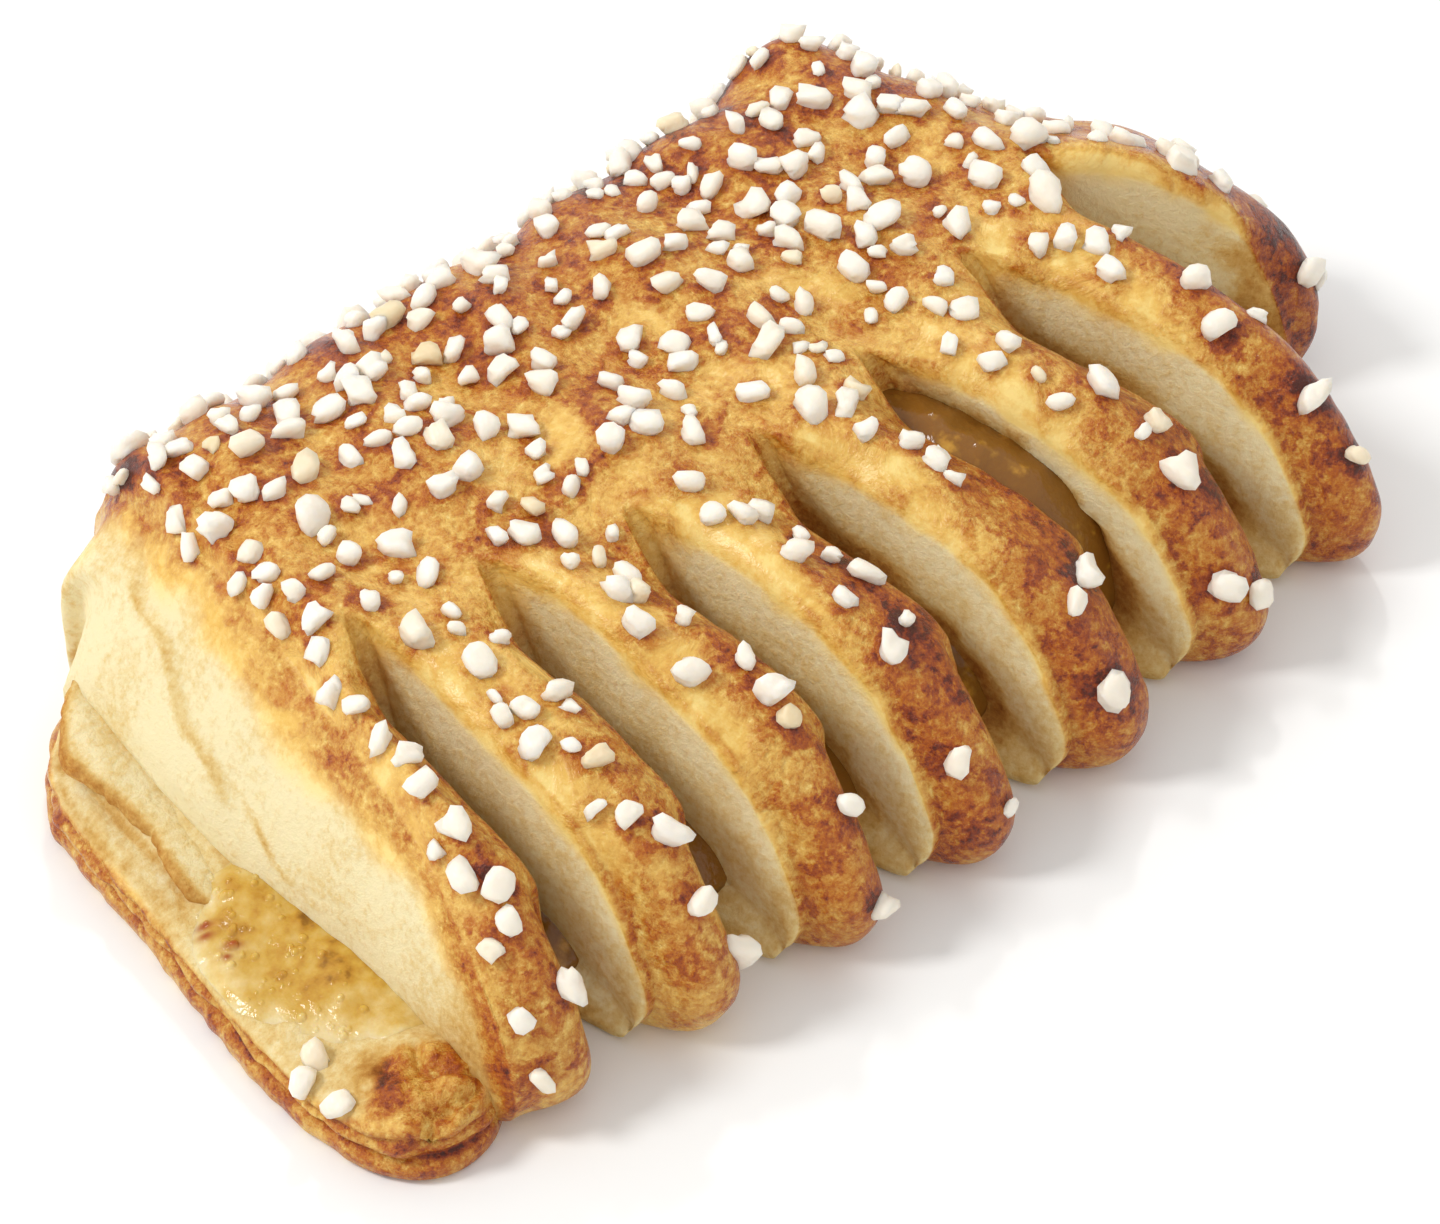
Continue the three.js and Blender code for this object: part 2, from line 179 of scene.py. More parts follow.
def noise(points, grain, seed):
    """Smooth noise, -1 to 1: random values on a cubic lattice of grain mm, eased between corners."""
    p = points / grain + 31.7 * seed
    cell = np.floor(p)
    u = p - cell
    u = u * u * (3 - 2 * u)
    total = np.zeros(points.shape[:-1])
    for corner in range(8):
        offset = np.array([corner & 1, corner >> 1 & 1, corner >> 2])
        weight = np.prod(np.where(offset == 1, u, 1 - u), axis=-1)
        x, y, z = np.moveaxis(cell + offset, -1, 0)
        value = np.sin(x * 127.1 + y * 311.7 + z * 74.7 + seed * 19.3) * 43758.5453
        total += weight * (value - np.floor(value))
    return 2 * total - 1


def rough(points, grain, seed, octaves=3):
    """Noise at several sizes, each half as large and half as strong as the one before."""
    return sum(0.5**o * noise(points, grain * 0.5**o, seed + 7 * o) for o in range(octaves)) / 1.6


# ------------------------------------------------------------------ the plan of the pastry
def line(s):
    """Bound line s: its points on the fold, at its slit start and at the toes, its reach, and the
    share of that reach which lies behind the slit."""
    fold = np.stack([between(FOLD_X, s), np.full(np.shape(s), FOLD_Y)], -1)
    slit = np.stack([between(SLIT_X, s), between(SLIT_Y, s)], -1)
    toe = np.stack([between(TOE_X, s), between(TOE_Y, s)], -1)
    back = np.linalg.norm(slit - fold, axis=-1)
    front = np.linalg.norm(toe - slit, axis=-1)
    return fold, slit, toe, back + front, back / (back + front)


def plan(s, f):
    """The plan point at share f of line s: the parabola through the line's three points."""
    s, f = np.broadcast_arrays(np.asarray(s, float), f)
    fold, slit, toe, _, opens = line(s)
    a = (f - opens) * (f - 1) / opens
    b = f * (f - 1) / (opens * (opens - 1))
    c = f * (f - opens) / (1 - opens)
    return a[..., None] * fold + b[..., None] * slit + c[..., None] * toe


def across(s, f):
    """The unit vector in plan across line s at share f, towards the last finger."""
    step = unit(plan(s, f + 0.01) - plan(s, f - 0.01))
    return np.stack([-step[..., 1], step[..., 0]], -1)


def finger_width(s, f):
    """The distance in plan between the middles of the fingers on either side of line s."""
    return np.linalg.norm(plan(s + 0.5, f) - plan(s - 0.5, f), axis=-1)


def section(t):
    """Row t of a section as shares of reach and height: 0 to 1 over the crust, 1 to 2 back under."""
    steps, run = spaced(SECTION * [REACH, HEIGHT])
    row = np.interp(t, run, steps[:, 0]) / REACH
    height = np.maximum(np.interp(t, run, steps[:, 1]), 0) / HEIGHT
    under = t > 1
    row = np.where(under, mix(SECTION[-1, 0], SECTION[0, 0], t - 1), row)
    return row, np.where(under, 0, height)


def opening(k, f):
    """How far slit k has opened at share f, 0 to 1: an even S that starts 1 mm past its start."""
    if k < 1 or k >= FINGERS:
        return np.zeros(np.shape(f))
    _, _, _, reach, opens = line(float(k))
    return smooth(((f - opens) * reach - 1) / OPENS_OVER)


def half_width(k, f, side):
    """Half the width of slit k at share f on one side, 1 towards the last finger, or half the strip of
    crust that lies over it where it is shut."""
    if k < 1 or k >= FINGERS:
        return np.zeros(np.shape(f))
    opens = line(float(k))[4]
    wide = SLIT_WIDTH[k] / 2
    if k == FINGERS - 1 and side > 0:
        wide = LAST_SWING * (f - opens) / (1 - opens)
    return mix(SHUT, np.maximum(SHUT, wide), opening(k, f))


def drawn_back(f, inner):
    """The last finger's rows, shortened beyond its slit start, most on its inner side."""
    return f - mix(LAST_OUTER, LAST_SHORT, inner) * np.maximum(0, f - 0.45) / 0.55


def crust_height(s, f):
    """Height of the crust over share f of line s: the last finger lies lower, the far back corner
    stands higher, and it ripples."""
    last = smooth((s - 6.7) / 1.2)
    first = smooth((1.2 - s) / 1.2)
    corner = 2.2 * smooth(s - 6.8) * smooth((0.25 - f) / 0.25)
    corner = corner + 1.3 * smooth((s - 6.3) / 1.2) * smooth((0.85 - f) / 0.2)
    ripple = 0.5 * np.sin(5.1 * s + 7 * f) + 0.35 * np.sin(2.3 * s - 17 * f + 1)
    return HEIGHT * (1 - last * (0.03 + 0.27 * np.clip(f, 0, 1)) - first * 0.03) + corner + ripple


def toe_share(s, q, f, open_share):
    """Share f drawn back towards the edges of a finger, to round off the corners of its toe, the far
    corner more than the near one."""
    cut = ROUNDING * mix(0.85, 1.4, smooth(q)) * np.abs(q) ** 2.5 + SLANT * smooth((q + 1) / 2)
    return f - cut / line(s)[3] * smooth((f - 0.8) / 0.2) * open_share


# ------------------------------------------------------------------ the folded sheet
def crust_share(s, h):
    """Share h of the crust's height on line s: the last finger keeps its height almost to its tip."""
    return mix(h, np.maximum(h, 0) ** 0.55, smooth((s - 7) / 0.5))


def edge_drop(i, q, open_share):
    """How far the crust of finger i has dropped at share q across it: a shallow parabola where the
    slits are open, and a rounder fall at the two ends of the sheet."""
    drop = open_share * (CROWN * q**2 + LEAN * q)
    if i == 0:
        drop = drop + 2.4 * np.clip((-0.1 - q) / 0.9, 0, 1) ** 2
    if i == FINGERS - 1:
        drop = drop + 2.0 * np.clip((q - 0.1) / 0.9, 0, 1) ** 2
    return drop


def lip_start(k, f, side):
    """Distance from the middle of slit k to where the lip of its side starts, with the lip's angle
    there from level."""
    open_share = opening(k, f)
    angle = math.atan(2 * CROWN / HALF_FINGER) * open_share
    return half_width(k, f, side) + LIP * open_share * (1 - np.sin(angle)), angle


def crust(i, q, t):
    """Points of finger i's crust, share q across it (-1 to 1) and row t: the plan point between its
    two lines, drawn in by the slits on either side, at the section's share of the crust's height. Where
    the slits are shut, that height is read where the point lies once it is drawn in."""
    row, h = section(t)
    s = i + (q + 1) / 2
    k = (q + 1) / 2
    open_share = mix(opening(i, row), opening(i + 1, row), k)
    f = toe_share(s, q, row, open_share)
    if i == FINGERS - 1:
        f = drawn_back(f, 1 - k)
    left = lip_start(i, f, 1)[0] * (1 - k)
    right = lip_start(i + 1, f, -1)[0] * k
    flat = plan(s, f) + across(i, f) * left[..., None] - across(i + 1, f) * right[..., None]
    moved = left / finger_width(float(i), f) - right / finger_width(i + 1.0, f)
    z = crust_height(s + moved * (1 - open_share), f) - edge_drop(i, q, open_share)
    z = crust_share(s, h) * z
    return np.concatenate([flat, z[..., None]], -1)


# How far each slit is hollowed out under the lip of the finger after it, from slit 1 on, and the share
# of its depth that the cut face above that hollow takes up.
UNDERCUT = [0, 0, 0, 0.3, 0.6, 1.6, 0.6, 0]
CUT_FACE = [0, 0.7, 0.55, 0.42, 0.36, 0.16, 0.36, 0.7]


def cut_face(k, row):
    """The share of slit k's depth where its cut face ends: more of it towards the toes."""
    return CUT_FACE[k] + 0.3 * smooth((row - 0.68) / 0.26)


def slit(k, t):
    """Points of slit k from the lip of the finger before it, down its wall, over the floor and up the
    next wall to the next lip. Each side is an arc of LIP, a nearly straight wall and a quarter oval.
    Where the slit is shut they lie evenly spread in a strip of crust. Returns the points, the share
    down, and the side."""
    row, h = section(t)
    open_share = opening(k, row)
    arc = np.linspace(0, 1, LIP_COLUMNS + 1)
    wall = np.linspace(0, 1, WALL_COLUMNS + 1)[1:]
    foot = np.linspace(0, 1, FLOOR_COLUMNS + 1)[1:]
    columns = []
    for side in (-1, 1):
        f = toe_share(float(k), -float(side), row, open_share)
        if k == FINGERS - 1 and side > 0:
            f = drawn_back(f, 1.0)
        gap = half_width(k, f, side)
        start, angle = lip_start(k, f, side)
        radius = LIP * open_share
        top = crust_height(float(k), f) - (CROWN - side * LEAN) * open_share
        depth = (top - FLOOR) * open_share**1.3
        turn = angle + (math.pi / 2 - angle) * arc[:, None]
        x_arc = start + radius * (np.sin(angle) - np.sin(turn))
        d_arc = radius * (np.cos(angle) - np.cos(turn))
        foot_drop = np.minimum(0.8 * gap, 0.4 * depth)
        d_wall = mix(d_arc[-1], depth - foot_drop, wall[:, None])
        under = UNDERCUT[k] * (side > 0) * open_share * smooth((0.95 - row) / 0.15)
        bulge = 0.5 * open_share * np.sin(math.pi * wall[:, None])
        gone = smooth((d_wall / np.maximum(depth, 0.05) - cut_face(k, row)) / 0.12)
        x_wall = gap - 0.4 * open_share * wall[:, None] - bulge + under * gone
        swing = foot[:, None] * math.pi / 2
        x_foot = (gap - 0.4 * open_share + under) * np.cos(swing)
        d_foot = depth - foot_drop * (1 - np.sin(swing))
        x = np.concatenate([x_arc, x_wall, x_foot])
        even = gap * np.linspace(1, 0, len(x))[:, None]
        x = mix(even, x, smooth(open_share / 0.15))
        d = np.concatenate([d_arc, d_wall, d_foot])
        share = d / np.maximum(depth, 0.05)
        inward = (TOE_GAP - ROUNDING) / line(float(k))[3] * smooth((row - 0.55) / 0.45) * share * open_share
        flat = plan(float(k), f - inward) + across(float(k), f)[None] * (side * x)[..., None]
        moved = side * x / finger_width(float(k), f) * (1 - open_share)
        tilt = crust_height(k + moved, f) - crust_height(float(k), f)
        points = np.concatenate([flat, (h * (top + tilt - d))[..., None]], -1)
        columns.append((points, share * open_share, np.full(x.shape, float(side))))
    before, after = columns
    return [np.concatenate([a, b[-2::-1]]) for a, b in zip(before, after)]


def face_share(row, w):
    """The share of reach of a row on a cut end, share w of the way down it: shorter towards its foot."""
    return mix(row, mix(0.12, 0.93, np.clip(row, 0, 1)), w)


def end_point(s, w, t, run, foot):
    """Points of a cut end of the sheet on line s, share w of the way down it, standing out by run, with
    its foot at the height that foot gives."""
    row, h = section(t)
    row, w = np.broadcast_arrays(row, w)
    f = face_share(row, w)
    if s > 1:
        f = drawn_back(f, 0.0)
    side = 1 if s > 1 else -1
    flat = plan(float(s), f) + across(float(s), f) * (side * run(f, w))[..., None]
    q = float(side)
    top = crust_height(float(s), row) - edge_drop(0 if s < 1 else FINGERS - 1, q, 0.0)
    h = crust_share(float(s), h)
    return np.concatenate([flat, (h * mix(top, foot(f), w))[..., None]], -1)


def near_run(f, w):
    """How far the near face stands out, share w down it: a slope that starts upright at the back
    corner, a bulge below that corner with a notch under it, and a fold that runs down the face."""
    start = mix(1.5, 0.8, smooth((f - 0.02) / 0.2))
    slope = mix(11, 2, smooth((f - 0.25) / 0.75)) * w**start
    bulge = 3.6 * hump(f, 0.03, 0.09) * hump(w, 0.36, 0.13) - 4.5 * hump(f, 0.0, 0.09) * hump(w, 0.82, 0.2)
    belly = 0.9 * np.sin(math.pi * w) * smooth((f - 0.2) / 0.3)
    fold = 0.7 * smooth((near_crease(f, w) + 0.05) / 0.05) * smooth((0.52 - f) / 0.1) * smooth((1 - w) / 0.2)
    return slope + bulge + belly + fold


def near_crease(f, w):
    """How far share w lies below the crease that runs down the near face from the back corner."""
    return w - (0.31 + 1.48 * (f - 0.2)) - 0.03 * np.sin(40 * f)


def near_foot(f):
    """Height of the foot of the near face, falling from back to front."""
    return mix(12.3, 5.7, smooth((f - 0.07) / 0.57))


# How far the crust baked, 0 pale to 1 dark: along the back edge, over the spine, how much less where the
# slits start, and towards the toes.
BACK_BAKE = 0.41
SPINE_BAKE = 0.24
GOLDEN = 0.31
TOE_BAKE = 0.48

# Where the crust baked darkest: finger, share across it, share along it, radius in mm and depth.
DARK_SPOTS = [
    (0, -0.7, 0.06, 3.0, 0.55),
    (0, 0.2, 0.83, 2.6, 0.42),
    (0, -0.2, 0.92, 2.2, 0.25),
    (3, 0.3, 0.84, 3.5, 0.1),
    (6, 0.1, 0.9, 3.5, 0.35),
    (5, 0.2, 0.9, 3.0, 0.3),
    (7, 0.0, 0.93, 5.0, 0.35),
    (5, 0.0, 0.04, 4.0, 0.4),
    (6, 0.0, 0.04, 4.0, 0.4),
]

# How much darker each slit is painted below its cut face, from slit 1 on: painted shade in the gap.
PAINTED_GAP_SHADE = [0, 0.1, 0.15, 0.3, 0.5, 0.5, 0.4, 0.2]


def crust_bake(i, q, t, points):
    """How far the crust baked, 0 pale to 1 dark: more along the back edge and towards the toes, less
    at the slit starts and along each finger's near side, in patches."""
    row = section(t)[0]
    q, row = np.broadcast_arrays(q, row)
    open_share = mix(opening(i, row), opening(i + 1, row), (q + 1) / 2)
    later = smooth((i - 1.5) / 2)
    back = mix(BACK_BAKE, SPINE_BAKE, smooth((row - 0.12) / 0.3))
    back = back - 0.12 * (i == 0) * smooth((-0.2 - q) / 0.8)
    golden = GOLDEN + 0.06 * (i < 3) - 0.2 * (i == FINGERS - 1)
    golden = golden * open_share * smooth((0.9 - q) / 1.5) * smooth((row - 0.45) / 0.1)
    toes = smooth((row - 0.61 + 0.1 * q + 0.12 * later) / (0.33 + 0.05 * later))
    toe_bake = TOE_BAKE + 0.06 * later - 0.15 * (i < 2) + 0.04 * (i == 3)
    back = back + 0.06 * (i == 3) * (1 - q**2)
    bake = mix(back - golden, toe_bake, toes) + 0.1 * (i == FINGERS - 1) * smooth((q + 1) / 0.5)
    bake = bake + 0.12 * rough(points, 8.0, 3) + 0.1 * rough(points, 4.0, 5)
    bake = bake + 0.3 * hump(row, 0.01, 0.035) * (1 + 0.6 * noise(points, 4.0, 18))
    bake = np.maximum(bake, 0.1)
    ridge = hump(q, 0.35, 0.45) * open_share * smooth((row - 0.55) / 0.15)
    bake = bake + mix(0.06, 0.14, later) * ridge * (1 + 0.8 * noise(points, 5.0, 23))
    for finger, spot_q, spot_f, radius, depth in DARK_SPOTS:
        if finger == i:
            reach = line(i + 0.5)[3]
            away = np.hypot((q - spot_q) * 5.5, (row - spot_f) * reach)
            bake = bake + depth * np.exp(-((away / radius) ** 2)) * (1 + 0.4 * noise(points, 2.0, 9))
    return bake


def near_face(t):
    """The cut near end of the sheet, from its foot up: crumb under a baked edge, with a browned crease,
    a patch below it and pits at the back corner. Returns the points, how much of each is crumb, and how
    far it baked, as the functions after it do."""
    row = section(t)[0]
    w = np.linspace(1, 0, NEAR_COLUMNS + 1)[:-1, None]
    points = end_point(0, w, t, near_run, near_foot)
    fall = np.broadcast_to(w, points.shape[:2])
    share = face_share(row, fall)
    crumb = smooth((fall - 0.05 + 0.1 * noise(points, 5.0, 2)) / 0.36)
    crease = hump(near_crease(share, fall), 0.0, 0.028 + 0.01 * noise(points, 3.0, 4))
    crease = crease * smooth((0.5 - share) / 0.08) * smooth((share - 0.15) / 0.05)
    patch = hump(near_crease(share - 0.06, fall), 0.0, 0.03) * hump(fall, 0.72, 0.09)
    bake = 0.03 + 0.28 * smooth((0.3 - fall) / 0.3) + 0.3 * crease + 0.4 * patch
    bake = bake + 0.14 * rough(points, 6.0, 6) + 0.4 * smooth((row - 0.84) / 0.14)
    bake = bake + 0.2 * smooth((0.02 - row) / 0.06) * smooth((0.3 - fall) / 0.2)
    pitted = hump(share, 0.02, 0.05) * hump(fall, 0.4, 0.16)
    bake = bake + 0.25 * pitted * smooth(0.5 + 2 * noise(points, 0.9, 10))
    return points, crumb, bake


def slit_walls(k, t):
    """The walls and floor of slit k: a baked lip, crumb on its cut faces, and baked as the crust beside it
    where it is shut. Deeper down the slit, and more below the cut faces, the crumb is painted darker as
    painted shade."""
    row = section(t)[0]
    points, share, side = slit(k, t)
    points, share = points[1:-1], share[1:-1]
    after = side[1:-1] > 0
    edge = np.where(after, 0.03, 0.07)
    crumb = smooth((share - edge + 0.03 * noise(points, 3.0, 11)) / 0.12)
    toes = smooth((row - 0.7) / 0.15)
    lip = mix(0.12, 0.3, toes) * (1 - smooth(share / 0.1))
    # Painted shade: the crumb is painted darker deeper down the slit, and darker still below its cut face.
    shade = mix(0.02, 0.14, smooth((share - 0.1) / 0.3))
    below = smooth((share - cut_face(k, row) + 0.03 * noise(points, 2.0, 14)) / 0.06)
    shade = shade + PAINTED_GAP_SHADE[k] * below * smooth((1.0 - row) / 0.1)
    bake = np.where(after, lip + shade, mix(0.5, 0.35, smooth(share / 0.3)))
    bake = bake + 0.08 * rough(points, 5.0, 8) + 0.12 * smooth((row - 0.95) / 0.04)
    if k == FINGERS - 1:
        bake = bake - 0.1 + 0.5 * smooth((row - 0.78 + 0.05 * noise(points, 3.0, 13)) / 0.12)
    open_share = opening(k, row)
    shut = crust_bake(k - 1, np.ones((1, 1)), t, points)
    return points, crumb * open_share, mix(shut, bake, open_share)


def far_face(t):
    """The cut far end of the sheet, from its edge down: a plain slope of crumb, browner at its toe."""
    row = section(t)[0]
    w = np.linspace(0, 1, FAR_COLUMNS + 1)[1:, None]
    points = end_point(FINGERS, w, t, lambda f, w: 3 * w, lambda f: FLOOR + 0 * f)
    fall = np.broadcast_to(w, points.shape[:2])
    bake = 0.4 + 0.1 * rough(points, 5.0, 6) + 0.3 * smooth((row - 0.8) / 0.2)
    return points, smooth((fall - 0.2) / 0.2) * 0.8, bake


def sheet_columns():
    """The folded sheet, column by column from the near end to the far end, each a ring round a
    section."""
    t = np.concatenate([np.arange(CRUST_ROWS) / CRUST_ROWS, 1 + np.arange(UNDER_ROWS) / UNDER_ROWS])
    q = np.linspace(-1, 1, CRUST_COLUMNS + 1)[:, None]
    blocks = [near_face(t)]
    for i in range(FINGERS):
        points = crust(i, q, t)
        blocks.append((points, 0 * points[..., 0], crust_bake(i, q, t, points)))
        if i + 1 < FINGERS:
            blocks.append(slit_walls(i + 1, t))
    blocks.append(far_face(t))
    return [np.concatenate(part) for part in zip(*blocks)]


def grid_normals(points):
    """Unit normals of a grid of rings, each closed: the cross of the steps round and along. Where rings
    fall together, they take the normal of the ring before them."""
    along_rings = np.gradient(points, axis=0)
    round_ring = np.roll(points, -1, axis=1) - np.roll(points, 1, axis=1)
    normal = np.cross(round_ring, along_rings)
    length = np.linalg.norm(normal, axis=-1)
    ring = np.where(length > 1e-3, np.arange(len(points))[:, None], 0)
    ring = np.maximum.accumulate(ring, axis=0)[..., None]
    return np.take_along_axis(normal / np.maximum(length, 1e-9)[..., None], ring, axis=0)


def ring_faces(rings, rows):
    """Quads between neighbouring rings, and a fan of triangles from a hub over each end. The hubs are
    the two vertices after the grid."""
    c, r = np.meshgrid(np.arange(rings - 1), np.arange(rows), indexing="ij")
    a = c * rows + r
    b = c * rows + (r + 1) % rows
    quads = np.stack([a, b, b + rows, a + rows], -1).reshape(-1, 4)
    r = np.arange(rows)
    nxt = (r + 1) % rows
    last = (rings - 1) * rows
    hub = rings * rows
    first_fan = np.stack([np.full(rows, hub), nxt, r], -1)
    last_fan = np.stack([np.full(rows, hub + 1), last + r, last + nxt], -1)
    return [quads, np.concatenate([first_fan, last_fan])]


def closed_rings(points):
    """The vertices of a closed skin: the grid, then the middle of its first and last ring."""
    hubs = np.stack([points[0].mean(0), points[-1].mean(0)])
    return np.concatenate([points.reshape(-1, 3), hubs])


def with_hubs(values):
    """The same for a value at each grid point."""
    return np.concatenate([values.ravel(), [values[0].mean(), values[-1].mean()]])


# ------------------------------------------------------------------ pieces
def piece(name, points, faces, values, material, replaces="dough", slot="crust"):
    """A smooth mesh piece from points in plan millimetres and arrays of faces. values are its named point
    attributes. It rides on the pastry, and the solid that it replaces is hidden."""
    mesh = bpy.data.meshes.new(name)
    mesh.vertices.add(len(points))
    mesh.vertices.foreach_set("co", ((points - MIDDLE) * MM).astype(np.float32).ravel())
    corners = np.concatenate([f.ravel() for f in faces]).astype(np.int32)
    sizes = np.concatenate([np.full(len(f), f.shape[1]) for f in faces])
    mesh.loops.add(len(corners))
    mesh.loops.foreach_set("vertex_index", corners)
    mesh.polygons.add(len(sizes))
    mesh.polygons.foreach_set("loop_start", (np.cumsum(sizes) - sizes).astype(np.int32))
    mesh.polygons.foreach_set("use_smooth", np.ones(len(sizes), bool))
    mesh.update(calc_edges=True)
    mesh.validate()
    for key, value in values.items():
        layer = mesh.attributes.new(key, "FLOAT", "POINT")
        layer.data.foreach_set("value", value.astype(np.float32))
    mesh.materials.append(material)
    made = bpy.data.objects.new(name, mesh)
    bpy.context.scene.collection.objects.link(made)
    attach(made, ROOT)
    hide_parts(replaces)


def ring_piece(name, points, values, *finish):
    """A piece from a grid of closed rings, with values at each point of the grid. finish is its
    material, the solid that it replaces and its slot, which is not used."""
    values = {key: with_hubs(value) for key, value in values.items()}
    piece(name, closed_rings(points), ring_faces(*points.shape[:2]), values, *finish)


def nearness(grid, centres, radii, reach):
    """How near each point is to the closest of some balls: 1 at its surface, falling away over reach.
    It takes one ring of the grid at a time, to spare memory."""
    near = np.zeros(grid.shape[:2])
    for ring, points in enumerate(grid):
        away = np.linalg.norm(points[:, None] - centres[None], axis=-1) - radii[None]
        near[ring] = np.exp(-((np.maximum(away, 0).min(1) / reach) ** 2))
    return near


# ------------------------------------------------------------------ pearl sugar
# Grains on the pinched corner: share along the rim, share out to it, and half length.
CORNER_GRAINS = np.array([[0.71, 0.82, 1.5], [0.715, 0.95, 1.35], [0.765, 0.93, 1.4]])
CORNER_UP = [-0.3, -0.3, 0.9]  # the way they face
MERIDIANS = 10  # sides of a grain
PARALLELS = 6  # rings of points up it


def sugar_spots():
    """Where the sugar lies: thick over the back, thinner along the fingers. Draws are taken in turn,
    and one too near an earlier grain is passed over. Returns points, normals and half lengths."""
    draws = np.arange(SUGAR_DRAWS)
    t = mix(0.2, 0.93, draw(draws, 1))
    finger = np.floor(FINGERS * draw(draws, 3)).astype(int)
    on_finger = smooth((section(t)[0] - 0.42) / 0.1)
    wanted = draw(draws, 2) <= mix(1, 0.45, on_finger)
    q = (2 * draw(draws, 4) - 1) * mix(1.1, 0.7, on_finger)
    points = np.zeros((len(draws), 3))
    normals = np.zeros((len(draws), 3))
    for i in range(FINGERS):
        mine = finger == i
        points[mine] = crust(i, q[mine], t[mine])
        along_crust = crust(i, q[mine], t[mine] + 0.01) - points[mine]
        across_crust = crust(i, q[mine] + 0.05, t[mine]) - points[mine]
        normals[mine] = unit(np.cross(along_crust, across_crust))
    chosen, sizes = [], []
    for n in np.flatnonzero(wanted):
        many = len(chosen)
        if many == CAD_GRAINS + MORE_GRAINS:
            break
        if many < CAD_GRAINS:
            r, gap = mix(*CAD_SIZES, many / CAD_GRAINS), 1.15
        else:
            r, gap = mix(*MORE_SIZES, ((many - CAD_GRAINS) / MORE_GRAINS) ** 0.8), 0.85
            if draw(n, 8) < 0.8 * smooth((section(t[n])[0] - 0.72) / 0.12):
                continue
        away = np.linalg.norm(points[chosen] - points[n], axis=-1)
        if many and np.any(away < gap * (np.array(sizes) + r)):
            continue
        chosen.append(n)
        sizes.append(r)
    sizes = np.array(sizes)
    sizes[:CAD_GRAINS] = mix(*TRUE_SIZES, draw(np.arange(CAD_GRAINS), 30) ** 1.4)
    corner = bed(CORNER_GRAINS[:, 0], CORNER_GRAINS[:, 1])
    points = np.vstack([points[chosen], corner])
    normals = np.vstack([normals[chosen], np.array([CORNER_UP] * len(corner))])
    return points, normals, np.append(sizes, CORNER_GRAINS[:, 2])


def rounded_blocks(n, sizes):
    """The shape of each grain n, a closed ball of rings whose directions are pushed out to a rounded
    block: divided by the root of their summed powers, then dented by its own waves."""
    u = np.arange(MERIDIANS) / MERIDIANS * 2 * math.pi
    v = (np.arange(PARALLELS) + 0.8) / (PARALLELS + 0.6) * math.pi - math.pi / 2
    u = u + 0.35 * (np.arange(PARALLELS)[:, None] % 2)
    x = np.cos(v)[:, None] * np.cos(u)
    y = np.cos(v)[:, None] * np.sin(u)
    z = np.sin(v)[:, None] + 0 * x
    ball = np.concatenate([np.stack([x, y, z], -1).reshape(-1, 3), [[0, 0, -1.0], [0, 0, 1.0]]])
    shape = np.broadcast_to(ball, (len(n),) + ball.shape)
    power = mix(2.4, 9.0, draw(n, 31))[:, None]
    shape = shape / (np.sum(np.abs(shape) ** power[..., None], -1) ** (1 / power))[..., None]
    for wave in range(3):
        aim = unit(np.stack([draw(n, 40 + 4 * wave + axis) * 2 - 1 for axis in range(3)], -1))
        lean = np.einsum("gvi,gi->gv", shape, aim)
        shape = shape * (1 + 0.13 * np.sin(2.8 * lean + 6.3 * draw(n, 43 + 4 * wave)[:, None]))[..., None]
    widths = np.stack([0.98 + 0 * n, mix(0.58, 0.9, draw(n, 32)), mix(0.55, 0.8, draw(n, 33))], -1)
    return shape * widths[:, None] * sizes[:, None, None]


def lying(n, normals):
    """The three axes of each grain n: the last leans a little from its normal, and the first, along the
    grain, is turned any way round it."""
    turn = 2 * math.pi * draw(n, 7)[:, None]
    side = unit(np.cross(normals, np.array([0.31, 0.95, 0.02])))
    other = np.cross(normals, side)
    first = side * np.cos(turn) + other * np.sin(turn)
    up = unit(normals + 0.5 * (draw(n, 34) - 0.5)[:, None] * other)
    second = unit(np.cross(up, first))
    return np.stack([np.cross(second, up), second, up], 1)


def grain_meshes(middles, normals, sizes):
    """The grains of sugar, placed and turned. Returns their points, faces, and a draw for their shade."""
    n = np.arange(len(middles))
    blocks = rounded_blocks(n, sizes)
    count = blocks.shape[1]
    points = np.einsum("gvi,gij->gvj", blocks, lying(n, normals)) + middles[:, None]
    step = (n * count)[:, None, None]
    faces = [(part[None] + step).reshape(-1, part.shape[1]) for part in ring_faces(PARALLELS, MERIDIANS)]
    return points.reshape(-1, 3), faces, np.repeat(draw(n, 35), count)


# ------------------------------------------------------------------ the bottom sheet and its leaf
# The edge of the bottom sheet from the top inwards to the underside: how far out from the rim, and how
# high. A brown seam runs between the upper layers and the lower lip.
EDGE = [[-3.0, 4.7], [-2.1, 4.65], [-1.4, 4.45], [-0.95, 4.15], [-0.8, 3.85], [-1.15, 3.65], [-0.8, 3.5]]
EDGE += [[-0.45, 3.3], [-0.4, 3.05], [-0.75, 2.85], [-1.15, 2.65], [-0.75, 2.45], [-0.3, 2.2]]
EDGE += [[-0.05, 1.8], [0.0, 1.2], [-0.1, 0.6], [-0.45, 0.15], [-1.1, 0.0]]
EDGE = np.array(EDGE)
SEAM = 2.65  # height of the seam
UPPER_SEAM = 3.65  # height of the thinner seam above it
RIM_COLUMNS = 420
TOP_ROWS = 44
BOTTOM_ROWS = 6


def frayed(b, size, seed):
    """A frayed wander of about size mm along share b of an edge."""
    line_points = np.stack([b * 90, 0 * b, 0 * b], -1)
    return size * (noise(line_points, 5.0, seed) + 0.6 * noise(line_points, 1.6, seed + 1))


